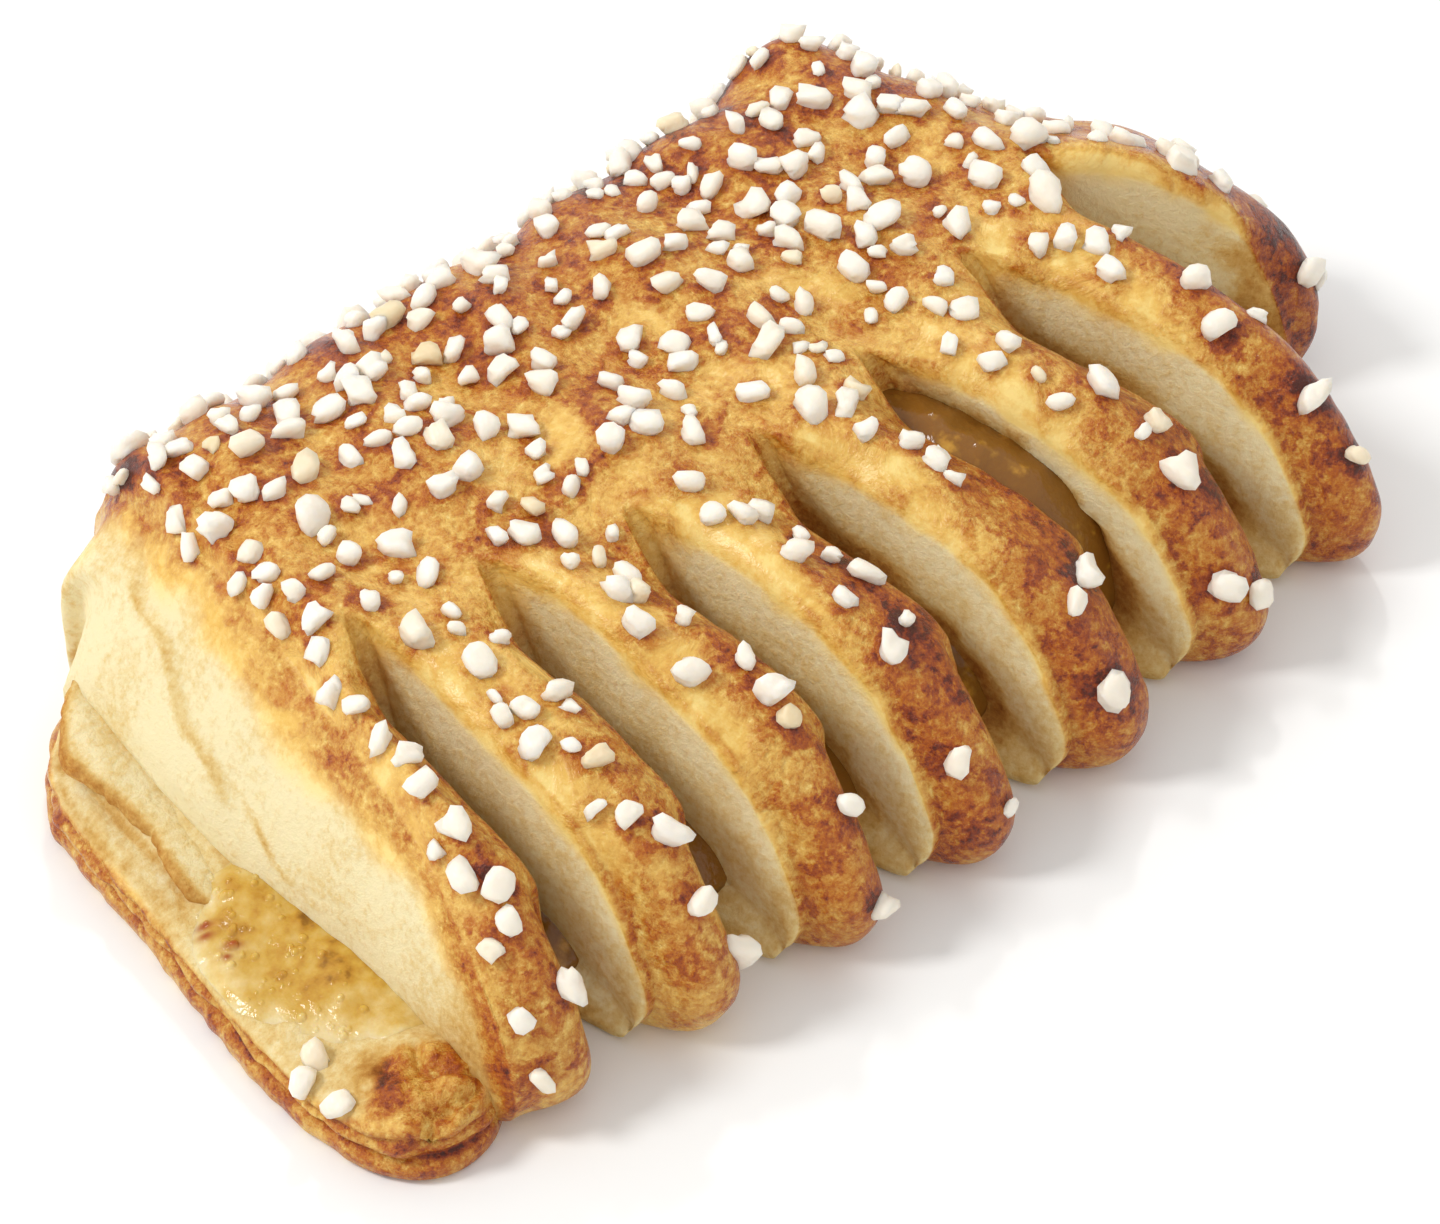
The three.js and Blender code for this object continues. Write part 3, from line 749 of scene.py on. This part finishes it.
def bed(b, share):
    """The bottom sheet's top in plan and height, at share b along its rim and share of the way out to
    it: it slopes from the foot of the near face to the rim, and rises to a pinched corner."""
    rim = along(RIM, b)
    inside = mix(*BED_START, np.asarray(b)[..., None])
    flat = mix(inside, rim, share[..., None])
    crease = mix(*BED_CREASE, smooth((b - 0.12) / 0.5))
    z = mix(crease, rim_top(b), smooth((share - 0.5) / 0.48))
    z = z + 3.2 * knob(b) * smooth((share - 0.35) / 0.35) * (1 - 0.8 * smooth((share - 0.78) / 0.22))
    return np.concatenate([flat, z[..., None]], -1)


def rim_top(b):
    """Height of the top layers at the rim: they lift towards the back corner."""
    return EDGE[0, 1] + 0.5 * (1 - smooth((b - 0.2) / 0.25))


def knob(b):
    """Where the front corner is pinched, 0 to 1 along the rim."""
    return hump(b, 0.86, 0.075)


def bottom_sheet():
    """The bottom sheet past the near end: EDGE carried along the rim, closed by its bed and a flat
    underside."""
    b, share = np.meshgrid(np.linspace(0, 1, RIM_COLUMNS), np.linspace(0, 1, TOP_ROWS), indexing="ij")
    inner = bed(b, 0 * share)
    rim = bed(b, 0 * share + 1)
    reach = np.linalg.norm((rim - inner)[..., :2], axis=-1)
    top_share = share * (1 + EDGE[0, 0] / reach)
    top = bed(b, top_share)
    b, rim, reach, inner = b[:, :1], rim[:, :1], reach[:, :1], inner[:, :1]
    outward = (rim - inner)[..., :2] / reach[..., None]
    over = EDGE[None, 1:, 1]
    stretch = (top[:, -1:, 2] - SEAM) / (EDGE[0, 1] - SEAM)
    z_edge = np.where(over > SEAM, SEAM + (over - SEAM) * stretch, over)
    layers = [frayed(b, 0.5, 3) + 0 * over, frayed(b, 0.55, 33) + 0 * over, frayed(b, 0.3, 5) + 0 * over]
    out_edge = EDGE[None, 1:, 0] + np.select([over > UPPER_SEAM, over > SEAM], layers[:2], layers[2])
    under = np.linspace(0.95, 0, BOTTOM_ROWS)[None]
    out = np.concatenate([out_edge, -reach * (1 - under)], 1)
    z = np.concatenate([z_edge, 0 * b + 0 * under], 1)
    side = np.concatenate([rim[..., :2] + outward * out[..., None], z[..., None]], -1)
    points = np.concatenate([top, side], 1)

    from_rim = np.concatenate([reach * (1 - top_share), -out], 1)
    on_top = np.concatenate([np.ones(TOP_ROWS), smooth((EDGE[1:, 1] - 3.2) / 1.2), np.zeros(BOTTOM_ROWS)])
    leaves = np.sin(2 * math.pi * from_rim / 2.3 + 2.6 * noise(points, 6.0, 12))
    flaky = 0.25 * leaves * smooth((0.55 - b) / 0.3) * smooth((9 - from_rim) / 4)
    pinched = knob(b) * smooth((13 - from_rim) / 6)
    lumps = 2.2 * rough(points, 4.2, 15) * pinched
    lumps = lumps - 0.9 * hump(noise(points, 5.0, 20), 0.0, 0.12) * smooth((pinched - 0.3) / 0.3)
    points[..., 2] += on_top * (flaky + lumps + 0.2 * rough(points, 2.5, 16))
    points[..., 2] = np.maximum(points[..., 2], 0)

    at_seam = np.zeros(on_top.shape)
    at_seam[TOP_ROWS:-BOTTOM_ROWS] = hump(EDGE[1:, 1], SEAM, 0.3) + 0.6 * hump(EDGE[1:, 1], UPPER_SEAM, 0.2)
    seam = at_seam * (1 + 0.6 * noise(points, 4.0, 19))
    crumb = on_top * (1 - smooth((pinched - 0.25) / 0.4)) * smooth((from_rim - 0.3) / 1.2)
    bake = 0.18 + 0.24 * smooth((1.0 - from_rim) / 1.2) + 0.55 * seam + 0.2 * smooth(pinched / 0.7)
    bake = bake + 0.3 * np.clip(-leaves - 0.2, 0, 1) * smooth((0.62 - b) / 0.3) * on_top
    burnt = hump(b, 0.795, 0.03) * hump(from_rim, 5.5, 2.2) * smooth(0.7 + noise(points, 1.6, 22))
    bake = bake + 0.14 * rough(points, 3.5, 17) + 0.5 * burnt
    return points, crumb, bake


def curled_leaf():
    """The leaf of dough, with a rounded, frayed edge: rings across it, carried along its edge. Its top
    falls towards the front, and its edge curls up a little."""
    b = np.linspace(0, 1, 110)[:, None]
    rim = along(LEAF, b)[:, 0][:, None]
    inside = mix(*LEAF_START, b)[:, None]
    a = np.linspace(0, 1, 26)[None]
    bend = np.linspace(0, math.pi, 10)[None, 1:-1]
    half = mix(*LEAF_THICKNESS, b) / 2 * (1 - 0.75 * np.abs(2 * b - 1) ** 6)
    reach = np.linalg.norm(rim - inside, axis=-1)
    outward = (rim - inside) / reach[..., None]
    wander = frayed(b, 0.5, 40)
    flat_out = mix(-reach, wander - half, a)
    round_out = wander - half + half * np.sin(bend)
    out = np.concatenate([flat_out, round_out, flat_out[:, ::-1]], 1)
    share = 1 + out / reach
    middle = mix(*LEAF_TOPS, b) - half + LEAF_CURL * smooth((share - 0.55) / 0.45)
    middle = middle + 0.5 * np.sin(9 * b + 3 * share + 40) - 1.8 * smooth((b - 0.72) / 0.28)
    z = np.concatenate([half + 0 * a, half * np.cos(bend), -half + 0 * a], 1) + middle
    points = np.concatenate([rim + outward * out[..., None], z[..., None]], -1)
    points[..., 2] += 0.25 * rough(points, 3.0, 42)
    edge = smooth((share - 0.93) / 0.06)
    ridges = np.sin(14 * share + 2.5 * noise(points, 6.0, 43))
    tan = (1 - 0.6 * b) * smooth((share - 0.5) / 0.4)
    bake = 0.12 + 0.08 * tan + 0.4 * edge + 0.1 * ridges * (1 - edge) + 0.14 * rough(points, 3.5, 44)
    crumb = np.clip(1.2 - 0.7 * edge * (1 - 0.5 * b), 0, 1)
    return points, crumb, bake


# ------------------------------------------------------------------ the fruit filling
FILLING_FROM = 0.15  # shares of a line's reach between which the filling lies
FILLING_TO = 0.84
FILLING_LOW = 5.5  # height of its edges
WELL = (10.5, 5, 0.6)  # how high it wells up in the widest slit, that slit's line, and how widely


def filling_top(s, share):
    """Height of the filling over share of its width on line s: domed, thicker past the first fingers,
    welling up in the widest slit and lower in the last finger."""
    full = mix(7, 13, smooth(s / 2)) + WELL[0] * hump(s, *WELL[1:]) - 4 * smooth(s - 6.6)
    domed = np.sqrt(np.clip(1 - (2 * share - 1) ** 4, 0.02, 1))
    return mix(FILLING_LOW, full, domed)


def filling():
    """The filling inside: rings over its top and back along its underside, from the far end to where it
    comes out under the near face. Returns the points, how thin it looks, and its flecks. How thin it looks
    is set below zero all over, so it takes the darkest gel colours: its own deep amber with painted shade,
    where it shows in the slits."""
    share = np.linspace(0, 1, 110)[None]
    s = np.linspace(7.6, 0.05, 260)[:, None]
    flat = plan(s, mix(FILLING_FROM, FILLING_TO, share))
    top = np.concatenate([flat, filling_top(s, share)[..., None]], -1)
    inside = smooth(share / 0.06) * smooth((1 - share) / 0.06)
    top[..., 2] += inside * (0.6 * rough(top, 5.0, 21) + 0.4 * rough(top, 1.8, 22))
    under = top[:, ::-1].copy()
    under[..., 2] = BASE_THICKNESS + 0.3
    points = np.concatenate([top, under], 1)
    # Below zero: the darkest gel stops, the filling's own deep amber with painted shade in the slits.
    return points, 0.35 * rough(points, 4.0, 28) - 1.0, 0 * points[..., 0]


# Toasted crumbs caught in the gel: share along the rim, share out to it, length and width in mm.
TOASTED = [(0.5, 0.82, 1.0, 0.55), (0.511, 0.84, 0.9, 0.5), (0.546, 0.78, 1.0, 0.5), (0.55, 0.83, 0.5, 0.4)]
TOASTED_TURN = np.array([[0.8, 0.6], [-0.6, 0.8]])  # they all lie turned by 37 degrees
BUBBLES = 90
GEL_THICKNESS = (1.2, 0.6)  # at the near face, and out on the bed
GEL_UNDER = 2.2  # how far its underside lies inside the bottom sheet


def gel_run():
    """The gel that has run out over the bed of the bottom sheet: thickest at the near face, it thins and
    dips into the bed at a wandering edge. Bubbles stand in it as low domes. Returns the points, how
    thin it looks, and its flecks."""
    b, share = np.meshgrid(np.linspace(0.37, 0.82, 320), np.linspace(0.37, 0.94, 140), indexing="ij")
    top = bed(b, share)
    wander = 0.03 * noise(top, 6.0, 24) + 0.012 * noise(top, 1.8, 25)
    start = 0.4 + 0.6 * np.maximum(share - 0.55, 0) ** 2
    end = 0.86 - 0.3 * (share - 0.4)
    window = smooth((b - start + wander) / 0.12) * smooth((end - b + wander) / 0.14)
    window = window * smooth((0.98 - share + wander) / 0.1)
    thick = mix(-0.4, mix(*GEL_THICKNESS, smooth((share - 0.55) / 0.3)), window)
    thick = thick - 1.4 * smooth((0.25 - window) / 0.25)
    calm = mix(1, 0.5, smooth((share - 0.7) / 0.2))
    dents = (0.28 * rough(top, 3.6, 26) + 0.08 * noise(top, 1.1, 27)) * calm

    n = np.arange(BUBBLES)
    size = mix(0.18, 0.5, draw(n, 51) ** 2)
    at_b = mix(0.42, 0.74, draw(n, 52))
    at_share = 0.52 + 0.36 * draw(n, 53)
    centres = bed(at_b, at_share)
    away = np.linalg.norm(top[..., None, :2] - centres[:, :2], axis=-1) / size
    dome = (size * np.sqrt(np.clip(1 - away**2, 0, 1))).max(-1)

    fleck = np.zeros(b.shape)
    for along_rim, out, length, width in TOASTED:
        middle = bed(np.array(along_rim), np.array(out))
        step = (top - middle)[..., :2] @ TOASTED_TURN
        fleck = np.maximum(fleck, hump(np.hypot(step[..., 0] / length, step[..., 1] / width), 0, 0.9))
    top[..., 2] += thick + (dents + 0.15 * fleck) * smooth(window / 0.3) + 0.8 * dome * smooth(window / 0.3)
    under = bed(b, share)[:, ::-1]
    under[..., 2] -= GEL_UNDER
    points = np.concatenate([top, under], 1)
    thin = np.clip(1.5 - 1.6 * window, 0, 1) + 0.5 * smooth((share - 0.68) / 0.2) * window
    thin = thin - 0.12 * smooth((0.6 - share) / 0.12) * window
    return points, np.concatenate([thin, thin[:, ::-1]], 1), np.concatenate([fleck, 0 * fleck], 1)


# ------------------------------------------------------------------ finishes
def linear(code):
    """An sRGB hex colour as linear red, green and blue with an alpha of 1."""
    parts = [int(code[i : i + 2], 16) / 255 for i in (1, 3, 5)]
    return [c / 12.92 if c <= 0.04045 else ((c + 0.055) / 1.055) ** 2.4 for c in parts] + [1.0]


def per_mm(size):
    """The texture scale, in cycles per metre, that gives a pattern of size mm."""
    return 1000.0 / size


def add(tree, kind, inputs=None, stops=(), **settings):
    """Adds a shader node, sets its settings and colour stops, and fills its inputs: a node among them
    is linked by its first output that is in use."""
    made = tree.nodes.new("ShaderNode" + kind)
    for key, value in settings.items():
        setattr(made, key, value)
    for key, value in (inputs or {}).items():
        if isinstance(value, bpy.types.Node):
            value = next(output for output in value.outputs if output.enabled)
        if isinstance(value, bpy.types.NodeSocket):
            tree.links.new(value, made.inputs[key])
        else:
            made.inputs[key].default_value = value
    if stops:
        elements = made.color_ramp.elements
        while len(elements) < len(stops):
            elements.new(0.5)
        for element, (position, colour) in zip(elements, stops):
            element.position = position
            element.color = linear(colour)
    return made


def finish_named(name):
    """A new node material with an empty tree, and where its pattern is placed."""
    material = bpy.data.materials.new(name)
    material.use_nodes = True
    material.node_tree.nodes.clear()
    return material, material.node_tree, add(material.node_tree, "TexCoord").outputs["Object"]


def skin_shader(tree, settings):
    """Ends a material in a Principled shader with these inputs."""
    shader = add(tree, "BsdfPrincipled", settings)
    add(tree, "OutputMaterial", {"Surface": shader})


def baked_dough():
    """Laminated yeast dough, egg-washed and baked: a satin to glossy skin in soft patches of straw,
    orange tan and mahogany, granular where it browned, over a dry, matt, cream crumb where it was cut."""
    material, tree, place = finish_named("Egg-washed laminated dough")
    crumb = add(tree, "Attribute", attribute_name="crumb").outputs["Fac"]
    bake = add(tree, "Attribute", attribute_name="bake").outputs["Fac"]
    halo = add(tree, "Attribute", attribute_name="halo").outputs["Fac"]

    # Soft browned patches of 6 mm.
    patches = {"Vector": place, "Scale": per_mm(6.0), "Detail": 5.0, "Roughness": 0.6, "Distortion": 0.6}
    patches = add(tree, "TexNoise", patches)
    patches = add(tree, "MapRange", {0: patches, 1: 0.3, 2: 0.7, 3: -0.16, 4: 0.16}, clamp=False)
    # Islands where the glaze pooled and browned, 3 mm, with granular borders.
    pools = {"Vector": place, "Scale": per_mm(3.0), "Detail": 7.0, "Roughness": 0.68, "Distortion": 0.3}
    pools = add(tree, "TexNoise", pools)
    island = {0: pools, 1: 0.5, 2: 0.57, 3: -0.1, 4: 0.14}
    island = add(tree, "MapRange", island, interpolation_type="SMOOTHSTEP")
    # Grains of 0.9 mm that show where the glaze has browned.
    grains = {"Vector": place, "Scale": per_mm(0.9), "Detail": 4.0, "Roughness": 0.75}
    grains = add(tree, "TexNoise", grains)
    speck = add(tree, "MapRange", {0: grains, 1: 0.35, 2: 0.65, 3: -0.22, 4: 0.22}, clamp=False)
    # Pores of the crumb, 0.9 mm and finer.
    pores = {"Vector": place, "Scale": per_mm(0.9), "Detail": 6.0, "Roughness": 0.7}
    pores = add(tree, "TexNoise", pores)
    pits = add(tree, "Math", {0: pores, 1: 0.7}, operation="MULTIPLY")

    level = add(tree, "Math", {0: bake, 1: patches}, operation="ADD")
    level = add(tree, "Math", {0: halo, 1: 0.22, 2: level}, operation="MULTIPLY_ADD")
    browned = add(tree, "MapRange", {0: level, 1: 0.12, 2: 0.4, 3: 0.2, 4: 1.0})
    level = add(tree, "Math", {0: island, 1: browned, 2: level}, operation="MULTIPLY_ADD")
    level = add(tree, "Math", {0: speck, 1: browned, 2: level}, operation="MULTIPLY_ADD")
    stops = [(0.0, "#F0D280"), (0.12, "#E3B65A"), (0.23, "#D6A048"), (0.34, "#CA8A32"), (0.45, "#C0741E")]
    stops += [(0.55, "#B45E10"), (0.7, "#9C4410"), (0.86, "#7A2C0E"), (1.0, "#501A0A")]
    skin = add(tree, "ValToRGB", {"Fac": level}, stops=stops)

    inner = add(tree, "Math", {0: patches, 1: 0.35, 2: bake}, operation="MULTIPLY_ADD")
    fleck = add(tree, "MapRange", {0: pores, 1: 0.35, 2: 0.65, 3: -0.12, 4: 0.12}, clamp=False)
    inner = add(tree, "Math", {0: inner, 1: fleck}, operation="ADD")
    stops = [(0.0, "#F3E4B6"), (0.2, "#E7CC8E"), (0.4, "#D6AC62"), (0.6, "#BC8740"), (0.8, "#9A5E26")]
    stops += [(1.0, "#683A18")]
    inside = add(tree, "ValToRGB", {"Fac": inner}, stops=stops)
    border = add(tree, "Math", {0: patches, 1: 0.7, 2: crumb}, operation="MULTIPLY_ADD")
    cut = add(tree, "MapRange", {0: border, 1: 0.1, 2: 0.9}, interpolation_type="SMOOTHSTEP")
    colour = add(tree, "Mix", {"Factor": cut, "A": skin, "B": inside}, data_type="RGBA")

    gloss = add(tree, "MapRange", {0: pools, 1: 0.4, 2: 0.6, 3: 0.45, 4: 0.25})
    rough_cut = add(tree, "Mix", {"Factor": cut, "A": gloss, "B": 0.75}, data_type="FLOAT")
    # The browned glaze is blistered, the golden glaze nearly smooth, and the crumb has open pores.
    blisters = add(tree, "Math", {0: grains, 1: browned}, operation="MULTIPLY")
    blisters = add(tree, "Math", {0: patches, 1: 1.2, 2: blisters}, operation="MULTIPLY_ADD")
    relief = add(tree, "Mix", {"Factor": cut, "A": blisters, "B": pits}, data_type="FLOAT")
    bump = add(tree, "Bump", {"Height": relief, "Strength": 1.0, "Distance": 0.5 * MM})
    glaze = add(tree, "MapRange", {0: cut, 1: 0.0, 2: 0.6, 3: 0.8, 4: 0.0})
    settings = {"Base Color": colour, "Roughness": rough_cut, "Normal": bump, "IOR": 1.2}
    settings |= {"Coat Weight": glaze, "Coat Roughness": 0.2, "Coat IOR": 1.4, "Coat Normal": bump}
    settings |= {"Subsurface Weight": 0.12, "Subsurface Radius": (1.0, 0.6, 0.25)}
    skin_shader(tree, settings | {"Subsurface Scale": 1.5 * MM})
    return material


def fruit_gel():
    """Starch-set apple filling: a wet, glossy, translucent gold that goes to straw where it lies thin
    over the dough, with toasted flecks. Where it shows in the slits it is a deep amber with painted shade."""
    material, tree, place = finish_named("Starch-set fruit gel")
    thin = add(tree, "Attribute", attribute_name="thin").outputs["Fac"]
    fleck = add(tree, "Attribute", attribute_name="fleck").outputs["Fac"]
    cloud = add(tree, "TexNoise", {"Vector": place, "Scale": per_mm(2.6), "Detail": 4.0})
    fine = add(tree, "TexNoise", {"Vector": place, "Scale": per_mm(0.6), "Detail": 2.0})
    level = add(tree, "MapRange", {0: cloud, 1: 0.35, 2: 0.65, 3: 0.1, 4: 0.6}, clamp=False)
    level = add(tree, "Math", {0: thin, 1: 0.5, 2: level}, operation="MULTIPLY_ADD")
    # The lowest stops colour the filling in the slits: deep amber, darkened further as painted shade.
    stops = [(0.0, "#885A1E"), (0.1, "#996A22"), (0.22, "#BE8C32"), (0.4, "#CCA244"), (0.6, "#D4B162")]
    stops += [(0.8, "#DEC280"), (1.0, "#E6D09C")]
    gold = add(tree, "ValToRGB", {"Fac": level}, stops=stops)
    toasted = {"Factor": fleck, "A": gold, "B": linear("#A04A16")}
    colour = add(tree, "Mix", toasted, data_type="RGBA")
    bump = add(tree, "Bump", {"Height": fine, "Strength": 0.4, "Distance": 0.25 * MM})
    settings = {"Base Color": colour, "Roughness": 0.16, "Normal": bump, "IOR": 1.42}
    settings |= {"Subsurface Weight": 0.3, "Subsurface Radius": (1.0, 0.65, 0.2)}
    skin_shader(tree, settings | {"Subsurface Scale": 2.5 * MM})
    return material


def pearl_sugar():
    """Pressed nib sugar: opaque warm white with a faint waxy sheen, a few grains toasted straw."""
    material, tree, place = finish_named("Pressed nib sugar")
    shade = add(tree, "Attribute", attribute_name="shade").outputs["Fac"]
    grain = add(tree, "TexNoise", {"Vector": place, "Scale": per_mm(0.5), "Detail": 2.0})
    stops = [(0.0, "#F7EFE2"), (0.88, "#F5EBDA"), (0.97, "#F0E0C2"), (1.0, "#E8D2A8")]
    colour = add(tree, "ValToRGB", {"Fac": shade}, stops=stops)
    bump = add(tree, "Bump", {"Height": grain, "Strength": 0.3, "Distance": 0.2 * MM})
    settings = {"Base Color": colour, "Roughness": 0.45, "Normal": bump, "IOR": 1.5}
    settings |= {"Subsurface Weight": 0.5, "Subsurface Radius": (1.0, 0.85, 0.65)}
    skin_shader(tree, settings | {"Subsurface Scale": 1.0 * MM})
    return material


# ------------------------------------------------------------------ the pastry
# The crust's broad swells and its smaller dimples: size and height in mm, seed, and octaves.
SWELLS = (11.0, 0.45, 31, 3)
DIMPLES = (3.2, 0.24, 32, 2)
HALO = 1.1  # how far round a grain of sugar the glaze is browner


def folded_sheet():
    """The folded sheet with its swells and dimples, which fade out towards the floor."""
    points, crumb, bake = sheet_columns()
    bumps = sum(height * rough(points, size, *draws) for size, height, *draws in (SWELLS, DIMPLES))
    on_top = smooth(points[..., 2] / 3.0)
    points = points + grid_normals(points) * (bumps * on_top * mix(1, 0.6, crumb))[..., None]
    points[..., 2] = np.maximum(points[..., 2], 0)
    return points, crumb, bake


DOUGH_PIECES = [("folded_sheet", folded_sheet), ("bottom_sheet", bottom_sheet), ("curled_leaf", curled_leaf)]
FILLING_PIECES = [("fruit_filling", filling), ("gel_run_out", gel_run)]


def bake_pastry():
    """Builds every piece of the pastry."""
    spots, normals, sizes = sugar_spots()
    middles = spots + normals * (SUNK * sizes)[:, None]

    dough = baked_dough()
    for name, shape in DOUGH_PIECES:
        points, crumb, bake = shape()
        halo = nearness(points, middles, sizes * 0.8, HALO) if shape is folded_sheet else 0 * bake
        ring_piece(name, points, {"crumb": crumb, "bake": bake, "halo": halo}, dough)

    gel = fruit_gel()
    for name, shape in FILLING_PIECES:
        points, thin, fleck = shape()
        ring_piece(name, points, {"thin": thin, "fleck": fleck}, gel, "filling", "filling")

    grains, faces, shade = grain_meshes(middles, normals, sizes)
    piece("pearl_sugar", grains, faces, {"shade": shade}, pearl_sugar())


# ------------------------------------------------------------------ the camera and the lights
AZIMUTH = -42.5  # degrees from looking along +Y
ELEVATION = 45.0
DISTANCE = 0.5
SENSOR = 36.0  # width in mm, as the lens
LENS = 131.25
AIM = (-0.00281, 0.00362, 0.0)  # what the camera looks at
FLOOR_WIDTH = 6.0
# Each lamp's name, where it stands and its width, in metres, and its watts: a large one from behind on
# the left, and a small, weak one straight across from the camera for the glints on the glaze.
LAMPS = [("key", (-0.55, 0.35, 0.75), 0.25, 4.2), ("glints", (0.5, 0.55, 0.72), 0.07, 1.5)]
SKY = 0.8


def studio():
    """A pale floor, a pale sky, the two lamps, and the camera."""
    bpy.ops.mesh.primitive_plane_add(size=FLOOR_WIDTH)
    floor = bpy.context.object
    floor.name = "floor"
    material, tree, _ = finish_named("Matt white paper")
    skin_shader(tree, {"Base Color": linear("#F7F7F5"), "Roughness": 0.9})
    floor.data.materials.append(material)

    world = bpy.data.worlds.new("pale studio")
    bpy.context.scene.world = world
    world.use_nodes = True
    background = world.node_tree.nodes["Background"]
    background.inputs["Color"].default_value = linear("#FFFFFF")
    background.inputs["Strength"].default_value = SKY

    for name, place, size, watts in LAMPS:
        lamp = bpy.data.lights.new(name, "AREA")
        lamp.shape = "DISK"
        lamp.size = size
        lamp.energy = watts
        stand = bpy.data.objects.new(name, lamp)
        bpy.context.scene.collection.objects.link(stand)
        stand.location = Vector(place)
        stand.rotation_mode = "QUATERNION"
        stand.rotation_quaternion = (-stand.location).to_track_quat("-Z", "Y")

    camera = bpy.data.cameras.new("camera")
    camera.sensor_width = SENSOR
    camera.lens = LENS
    camera.clip_start = 0.01
    eye = bpy.data.objects.new("camera", camera)
    bpy.context.scene.collection.objects.link(eye)
    turn, rise = math.radians(AZIMUTH), math.radians(ELEVATION)
    back = Vector((math.sin(turn) * math.cos(rise), -math.cos(turn) * math.cos(rise), math.sin(rise)))
    eye.location = Vector(AIM) + back * DISTANCE
    eye.rotation_mode = "QUATERNION"
    eye.rotation_quaternion = (-back).to_track_quat("-Z", "Y")
    bpy.context.scene.camera = eye
    bpy.context.scene.view_settings.view_transform = "Standard"


bake_pastry()
studio()
